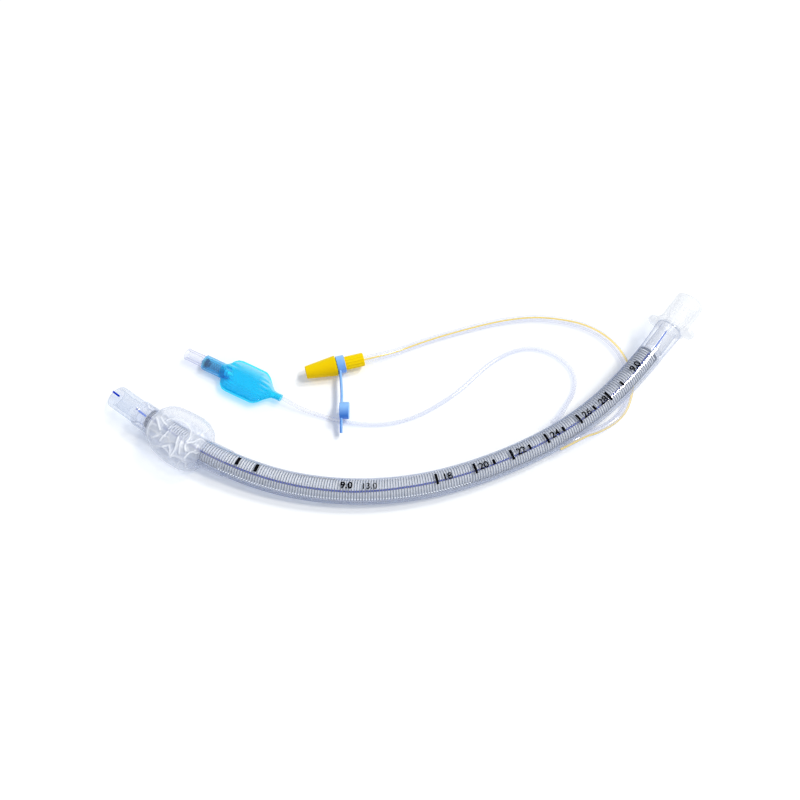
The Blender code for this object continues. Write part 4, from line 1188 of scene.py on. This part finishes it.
# %% Pilot balloon
VALVE_START = (-66.0, 2.6, 4.4)
VALVE_HEADING = math.radians(153)
POUCH_LENGTH = 35.7
POUCH_FILM = 0.3
SEAM_HALF = 0.25
valve_matrix = axes_matrix(
    Vector(VALVE_START) * MM, (math.cos(VALVE_HEADING), math.sin(VALVE_HEADING), 0), (0, 0, 1)
)
POUCH_OUTLINE = [
    (0, 1.9), (3, 1.9), (5, 2.2), (7, 3.9), (9, 5.8), (11, 7.5), (13, 8.8), (14.5, 9.3), (22, 9.4),
    (28.5, 9.4), (31, 8.8), (33, 7.0), (34.3, 4.6), (35.7, 4.1),
]
POUCH_DEPTH = [
    (0, 1.9), (3, 1.9), (5, 1.9), (7, 2.2), (9, 2.7), (13, 3.4), (18, 3.7), (28, 3.8), (31, 3.9), (34, 4.1),
    (35.7, 4.1),
]


def pouch_grid(inset):
    stations = np.linspace(0, POUCH_LENGTH, 90)[:, None]
    wide = np.interp(stations, *np.array(POUCH_OUTLINE).T)
    deep = np.interp(stations, *np.array(POUCH_DEPTH).T)
    turn = circle(96)[None]
    across = np.cos(turn)
    flat = np.clip((wide - 4.2) / 3.0, 0, 1)
    body = np.clip(1 - (across * wide / np.maximum(wide - flat, 0.1)) ** 2, 0, 1)
    lift = body ** (0.5 + 0.22 * flat) * (deep - SEAM_HALF * flat) + SEAM_HALF * flat
    lift = np.maximum(lift - inset, 0.02)
    creases = 0.28 * np.exp(-((stations - 9) / 4) ** 2) * np.cos(across * wide * 2.6) * flat
    creases += 0.22 * np.exp(-((stations - 31) / 3) ** 2) * np.cos(across * wide * 2.0 + 1) * flat
    lift = lift + creases * np.clip(body * 2, 0, 1)
    width = np.maximum(wide - inset * (1 + 2.4 * flat), 0.2)
    width = width + 0.45 * flat
    lean = 1.2 * np.minimum(across, 0) * np.clip(1 - np.abs(stations - 13) / 7, 0, 1)
    return np.stack([np.sign(np.sin(turn)) * lift, across * width, stations + lean], axis=-1) * MM


both_films = np.concatenate([pouch_grid(0), pouch_grid(POUCH_FILM)[::-1]])
pouch = skin("pilot_pouch", both_films, looped=True, sharp=50)
dress(put(pouch, valve_matrix), "pouch", "blue_film", "pilot_balloon")

# %% Valve
HOUSING_END, HOUSING_RADIUS = 46.7, 4.1
INLET_END = 57.9
VALVE_PIECES = [
    ("valve_barrel", "housing", "blue_plastic", ["valve_housing"], 48, [
        (32.0, 1.0), (32.0, 3.3), (32.1, 3.4), (35.99, 3.4), (35.99, 3.95), (36.15, HOUSING_RADIUS),
        (39.0, HOUSING_RADIUS), (39.2, HOUSING_RADIUS - 0.15), (39.6, HOUSING_RADIUS - 0.15),
        (39.8, HOUSING_RADIUS), (HOUSING_END - 0.3, HOUSING_RADIUS), (HOUSING_END, HOUSING_RADIUS - 0.3),
        (HOUSING_END, 3.0), (33.7, 3.0), (33.7, 1.0),
    ]),
    ("luer_inlet", "inlet", "clear_plastic", ["valve_inlet"], 48, [
        (46.62, 1.5), (46.62, 2.7), (46.8, 2.7), (46.8, 3.05), (47.0, 3.25), (52.5, 3.12), (56.7, 3.0),
        (56.9, 3.2), (57.6, 3.2), (INLET_END, 3.0), (INLET_END, 2.35), (INLET_END - 0.25, 2.15), (48.6, 1.95),
        (48.5, 1.5),
    ]),
    # A small cone inside the pouch; its pure white is a painted highlight where light gathers on its tip.
    ("inner_nozzle", "nozzle_highlight", "blue_plastic", [], 32, [
        (33.9, 0), (33.9, 1.9), (33.6, 2.0), (29.6, 0.5), (29.3, 0.2), (29.3, 0),
    ]),
    ("seal_ring", "seal", "seal_rubber", ["valve_seal"], 48, [
        (46.0, 1.55), (46.0, 2.6), (46.1, 2.7), (46.5, 2.7), (46.6, 2.6), (46.6, 1.55), (46.5, 1.5),
        (46.1, 1.5),
    ]),
    ("plunger_piece", "plunger", "dark_plastic", ["valve_plunger"], 48, [
        (45.7, 0), (45.7, 2.3), (45.6, 2.4), (45.0, 2.4), (44.9, 2.3), (44.9, 1.3), (43.5, 1.3), (43.4, 1.2),
        (43.4, 0),
    ]),
    ("plunger_stem", "stem", "dark_plastic", [], 24, [
        (48.7, 0), (48.7, 0.5), (48.55, 0.75), (48.2, 0.9), (45.7, 0.9), (45.7, 0),
    ]),
]
for name, look, slot, nodes, sides, profile in VALVE_PIECES:
    body = "plunger" if name.startswith("plunger") else "root"
    dress(put(turned(name, profile, sides), valve_matrix), look, slot, *nodes, body=body)


# %% Spring
SPRING_LOW, SPRING_HIGH = 34.2, 44.4


def coil_spring(graph, given):
    return swept(graph, graph.node("GeometryNodeCurveSpiral", {
        "Resolution": given["Steps"], "Rotations": given["Turns"], "Start Radius": given["Radius"],
        "End Radius": given["Radius"], "Height": given["Length"],
    }), given["Wire"])


spring = grow("valve_spring_coil", coil_spring, bpy.data.meshes.new("seat"), {
    "Turns": 7.5, "Radius": 1.8 * MM, "Length": (SPRING_HIGH - SPRING_LOW) * MM, "Wire": 0.2 * MM,
    "Steps": 28,
})
put(spring, valve_matrix @ Matrix.Translation((0, 0, SPRING_LOW * MM)))
dress(spring, "spring", "spring_steel", "valve_spring")
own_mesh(spring)

# %% [markdown]
# ## The suction connector and its cap
#
# The yellow funnel takes a suction hose of any size, so it tapers, and its grip has ribs along it that
# Geometry Nodes set round a core. The soft blue moulding on its neck is one piece: a ring, a strap, a cap
# and a pull tab.

# %% Suction connector
FUNNEL_START = (-53.55, 16.95, 5.65)
FUNNEL_HEADING = math.radians(14.8)
funnel_matrix = axes_matrix(
    Vector(FUNNEL_START) * MM, (math.cos(FUNNEL_HEADING), math.sin(FUNNEL_HEADING), 0), (0, 0, 1)
)


funnel = turned("suction_funnel", [
    (0.0, 2.0), (0.0, 3.15), (0.25, 3.4), (15.4, 5.35), (15.8, 5.45), (16.25, 5.45), (16.4, 5.3),
    (16.4, 3.85), (21.4, 3.85), (21.4, 3.3), (21.6, 3.45), (31.1, 3.45), (31.4, 3.2), (31.4, 2.1),
    (23.4, 2.1), (23.4, 1.8), (1.0, 1.8),
], 64)
dress(put(funnel, funnel_matrix), "yellow", "yellow_plastic", "suction_connector")


def rib_ring(graph, given):
    low = graph.node("ShaderNodeCombineXYZ", {"Z": given["Start"]})
    high = graph.node("ShaderNodeCombineXYZ", {"Z": given["Start"] + given["Length"]})
    line = graph.node("GeometryNodeCurvePrimitiveLine", {"Start": low, "End": high})
    spot = graph.node("GeometryNodeInputPosition")
    return graph.node("GeometryNodeInstanceOnPoints", {
        "Points": graph.node("GeometryNodeMeshCircle", {
            "Vertices": given["Count"], "Radius": given["Radius"],
        }),
        "Instance": swept(graph, line, given["Width"], 10),
        "Rotation": graph.node("FunctionNodeAlignRotationToVector", {"Vector": spot}, {"axis": "X"}),
    })


ribs = grow("grip_ribs", rib_ring, bpy.data.meshes.new("core"), {
    "Count": 14, "Radius": 3.3 * MM, "Start": 21.9 * MM, "Length": 9.0 * MM, "Width": 0.38 * MM,
})
dress(put(ribs, funnel_matrix), "yellow", "yellow_plastic")

# %% Cap, strap and ring
STRAP_ROUTE = [
    (-35.35, 17.2, 5.8), (-35.0, 13.6, 6.0), (-34.6, 9.4, 6.2), (-34.2, 3.6, 6.5), (-34.1, -1.9, 6.8),
]
CAP_START = (-35.0, -5.8, 6.9)
TAB_ROUTE = [(-34.1, -9.5, 6.4), (-34.1, -13.4, 5.0), (-34.1, -17.0, 3.6)]
STRAP_WIDTH, STRAP_THICKNESS = 3.0, 1.4


def strip(name, route, ends):
    """A flat strip on edge, its width upright. ends scales the width at the two ends."""
    points = smooth_route(route, 0.8)
    across, up = carried_axes(points)
    widths = np.interp(np.linspace(0, 1, len(points)), [0, 0.25, 0.75, 1], [ends[0], 1, 1, ends[1]])
    turn = circle(24)[None, :, None]
    square = (np.abs(np.cos(turn)) ** 5 + np.abs(np.sin(turn)) ** 5) ** (-1 / 5)
    grid = points[:, None] + across[:, None] * np.cos(turn) * square * STRAP_THICKNESS / 2 * MM
    grid = grid + up[:, None] * np.sin(turn) * square * STRAP_WIDTH / 2 * MM * widths[:, None, None]
    return skin(name, grid, capped=True)


def cap_piece():
    ring = turned("strap_and_cap", [
        (16.7, 4.1), (16.7, 4.65), (16.85, 4.8), (20.95, 4.8), (21.1, 4.65), (21.1, 4.1),
    ])
    put(ring, funnel_matrix)
    strap = strip("strap", STRAP_ROUTE, (1.3, 1.0))
    cup = turned("cup", [
        (0, 3.45), (0, 4.3), (0.2, 4.5), (4.6, 4.5), (5.0, 4.1), (5.0, 0), (3.8, 0), (3.8, 3.2), (3.6, 3.45),
    ])
    put(cup, axes_matrix(Vector(CAP_START) * MM, (1, 0, 0), (0, 0, 1)))
    tab = strip("tab", TAB_ROUTE, (1.0, 0.8))
    return cut(ring, strap, cup, tab, operation="UNION")


dress(cap_piece(), "cap", "light_blue_plastic", "suction_cap")

# %% [markdown]
# ## The blue line and the print
#
# A blue line that X-rays show runs the length of the wall under the coil, so only dots of it show between
# the turns. The black print is ink on the jacket: depth marks every centimetre, two broad bands behind the
# cuff and plain numbers for depth and size. Ink is modelled as thin plates that follow the wall, and
# Geometry Nodes set the marks along the centre line. They also set a row of small bright beads low on the
# wall, which stand for the light that the round plastic gathers between two turns of the coil.

# %% Blue line
LINE_ANGLES = [
    (3, 88), (22, 84), (30, 80), (65, 65), (95, 65), (107, 64), (128, 62), (141, 60.5), (154, 65), (166, 70),
    (185, 72), (222, 73), (255, 73), (270, 72), (285, 72), (300, 69), (312, 80), (330, 89),
]


def wall_ribbon(name, start, end, radius, width, thickness, shift=0.0, turned_by=None):
    """A thin band along the wall, where the blue line runs or turned_by degrees from the outer side."""
    stations = np.linspace(start, end, max(2, round(end - start)))[:, None]
    middle = np.radians(np.interp(stations, *np.array(LINE_ANGLES).T) if turned_by is None else turned_by)
    turn = circle(8)[None]
    around = middle + np.cos(turn) * width / 2 / radius
    reach = radius + np.sin(turn) * thickness / 2
    return skin(name, SHAFT.around(stations, reach, around, shift), capped=True)


for name, look, *sizes in (
    ("blue_line_tip", "tip_mark", -0.9, 3.9, 4.42, 1.0, 0.12, 0.0, 248),
    ("blue_dot", "blue_line", 21.0, 21.9, 5.6, 0.8, 0.12),
    ("blue_line_front", "pale_blue", 22.6, 28.0, 5.6, 1.0, 0.12),
    ("blue_line_shaft", "blue_line", 28.6, 318.0, 4.86, 1.0, 0.1, 0.63),
    ("blue_line_end", "pale_blue", 318.8, 331.5, 5.6, 0.55, 0.12),
):
    dress(wall_ribbon(name, *sizes), look, "clear_pvc")


# %% Glints along the coil
GLINT_START, GLINT_COUNT = 72, 92
GLINT_RADIUS, GLINT_ANGLE, GLINT_SIZE = 6.15, 30, 0.32


def glint_row(graph, given):
    spots = row_round(graph, given, stepped(graph, given), given["Angle"])
    bead = graph.node("GeometryNodeMeshIcoSphere", {"Radius": given["Size"], "Subdivisions": 2})
    return graph.node("GeometryNodeInstanceOnPoints", {"Points": spots, "Instance": bead})


first_turn = round((GLINT_START - COIL_START) / COIL_PITCH)
between_turns = (first_turn + 0.5 + GLINT_ANGLE / 360) * COIL_PITCH
glints = grow("coil_glints", glint_row, centre_mesh(), {
    "First": (COIL_START + CLOSED_TURNS * closed_pitch + between_turns) * MM, "Step": COIL_PITCH * MM,
    "Count": GLINT_COUNT, "Radius": GLINT_RADIUS * MM, "Shift": 0.0, "Angle": math.radians(GLINT_ANGLE),
    "Size": GLINT_SIZE * MM,
})
dress(glints, "glint", "clear_pvc")


# %% Printed marks
INK = 0.05


def mark_row(graph, given):
    position, tangent, side, _ = along_line(graph, given, stepped(graph, given))
    arc = graph.node("GeometryNodeCurveArc", {
        "Resolution": 24, "Radius": given["Radius"], "Start Angle": -1 * given["Middle"] - given["Sweep"] / 2,
        "Sweep Angle": given["Sweep"],
    })
    profile = graph.node("GeometryNodeCurvePrimitiveQuadrilateral", {
        "Width": given["Ink"], "Height": given["Width"],
    })
    return graph.node("GeometryNodeInstanceOnPoints", {
        "Points": row_at(graph, given, position),
        "Instance": graph.node("GeometryNodeCurveToMesh", {
            "Curve": arc, "Profile Curve": profile, "Fill Caps": True,
        }),
        "Rotation": graph.node("FunctionNodeAxesToRotation", {0: tangent, 1: side}, {
            "primary_axis": "Z", "secondary_axis": "X",
        }),
    })


def marks(name, first, step, count, middle, sweep, width):
    """Bars of ink of a width, which reach over sweep degrees of the wall, in a row along it."""
    made = grow(name, mark_row, centre_mesh(), {
        "First": first * MM, "Step": step * MM, "Count": count, "Radius": (SHAFT_RADIUS + INK / 2) * MM,
        "Middle": math.radians(middle), "Sweep": math.radians(sweep), "Width": width * MM, "Ink": INK * MM,
    })
    return dress(made, "ink", "clear_pvc")


marks("cuff_bands", 82.0, 10.0, 2, 105, 42, 1.7)
marks("even_marks", 183.0, 20.0, 6, 89, 50, 1.3)
marks("odd_marks", 213.0, 20.0, 5, 88, 24, 1.3)


DIGIT_SHARE = 0.7
SLICE = 0.35


def numeral(name, text, start, middle, height, bold=0.0):
    """Plain numbers on the wall, which read along it with their tops to the inner side of the bend."""
    font = bpy.data.curves.new(name, "FONT")
    font.body = text
    font.size = height / DIGIT_SHARE
    font.offset = bold
    font.align_y = "CENTER"
    host = new_object(name + "_host", font)
    data = evaluated_mesh(host)
    bpy.data.objects.remove(host, do_unlink=True)
    with edited(data) as shape:
        bmesh.ops.remove_doubles(shape, verts=shape.verts, dist=1e-4)
        for y in np.arange(-height, height, SLICE):
            whole = shape.verts[:] + shape.edges[:] + shape.faces[:]
            bmesh.ops.bisect_plane(shape, geom=whole, plane_co=(0, y, 0), plane_no=(0, 1, 0))
        flat = np.array([v.co for v in shape.verts])
        turn = math.radians(middle) + flat[:, 1] / SHAFT_RADIUS
        for vert, spot in zip(shape.verts, SHAFT.around(start + flat[:, 0], SHAFT_RADIUS + INK, turn)):
            vert.co = spot
        bmesh.ops.recalc_face_normals(shape, faces=shape.faces)
    made = new_object(name, data)
    step = made.modifiers.new("ink", "SOLIDIFY")
    step.thickness = INK * MM
    step.offset = -1
    plain_mesh(made)
    return dress(made, "ink", "clear_pvc")


for centimetres, start in ((18, 186.0), (20, 205.0), (22, 225.6), (24, 245.5), (26, 265.6), (28, 276.8)):
    numeral(f"number_{centimetres}", str(centimetres), start, 88, 3.5, 0.1)
numeral("size_front", "9.0", 135.2, 96, 3.5, 0.16)
numeral("outside_size", "13.0", 145.6, 93, 3.2, 0.04)
numeral("size_rear", "9.0", 302.0, 97, 3.5, 0.16)

# %% [markdown]

# %% [markdown]
# ## The table, the light and the world
#
# The object lies on a white table in a bright room, under two large lamps from the right, one of them
# further back. The second lamp shows in no mirror, so a round wall has one highlight. The table and the
# world are pure white only to the eye, by Light Path, so the object itself is lit at a plain level.


# %% Table and world
ROOM_LEVEL = 0.57
TABLE_GLOW = 0.12
TABLE_HALF, TABLE_HEIGHT = 1.5, -0.05 * MM


def watched(graph):
    """1 on the rays that the eye follows, straight, off a mirror or through a wall, and 0 on all others."""
    return (on_rays(graph, "Camera") + on_rays(graph, "Glossy") + on_rays(graph, "Transmission")).held()


def table():
    look, graph = new_material("white_table")
    matt = graph.node("ShaderNodeBsdfDiffuse", {"Color": (0.98, 0.98, 0.98, 1)})
    glow = graph.node("ShaderNodeEmission", {
        "Color": (0.86, 0.88, 1.0, 1), "Strength": watched(graph) * TABLE_GLOW,
    })
    surface(graph, graph.node("ShaderNodeAddShader", {0: matt, 1: glow}))
    signs = ((-1, -1), (1, -1), (1, 1), (-1, 1))
    corners = [(x * TABLE_HALF, y * TABLE_HALF, TABLE_HEIGHT) for x, y in signs]
    data = bpy.data.meshes.new("table")
    data.from_pydata(corners, [], [(0, 1, 2, 3)])
    data.materials.append(look)
    made = new_object("table", data)


def bright_room():
    world = bpy.data.worlds.new("room")
    world.use_nodes = True
    bpy.context.scene.world = world
    graph = Graph(world.node_tree)
    room = graph.node("ShaderNodeBackground", {"Color": (0.80, 0.88, 1, 1), "Strength": ROOM_LEVEL})
    white = graph.node("ShaderNodeBackground", {"Color": WHITE, "Strength": 1.0})
    graph.node("ShaderNodeOutputWorld", {"Surface": mixed(graph, watched(graph), room, white)})


def lamp(name, level, slant, lean, softness, mirrored=True):
    """A far lamp, in degrees: slanted to the right, leant to the back, and as wide as softness says."""
    data = bpy.data.lights.new(name, "SUN")
    data.energy = level
    data.angle = math.radians(softness)
    data.color = (1.0, 0.96, 0.86)
    made = new_object(name, data)
    made.rotation_euler = (-math.radians(lean), math.radians(slant), 0)
    made.visible_glossy = mirrored


table()
bright_room()
lamp("key", 1.0, slant=30, lean=0, softness=11)
lamp("back", 0.95, slant=33, lean=18, softness=10, mirrored=False)
bpy.context.scene.cycles.transparent_max_bounces = 40
bpy.context.scene.view_settings.view_transform = "Standard"
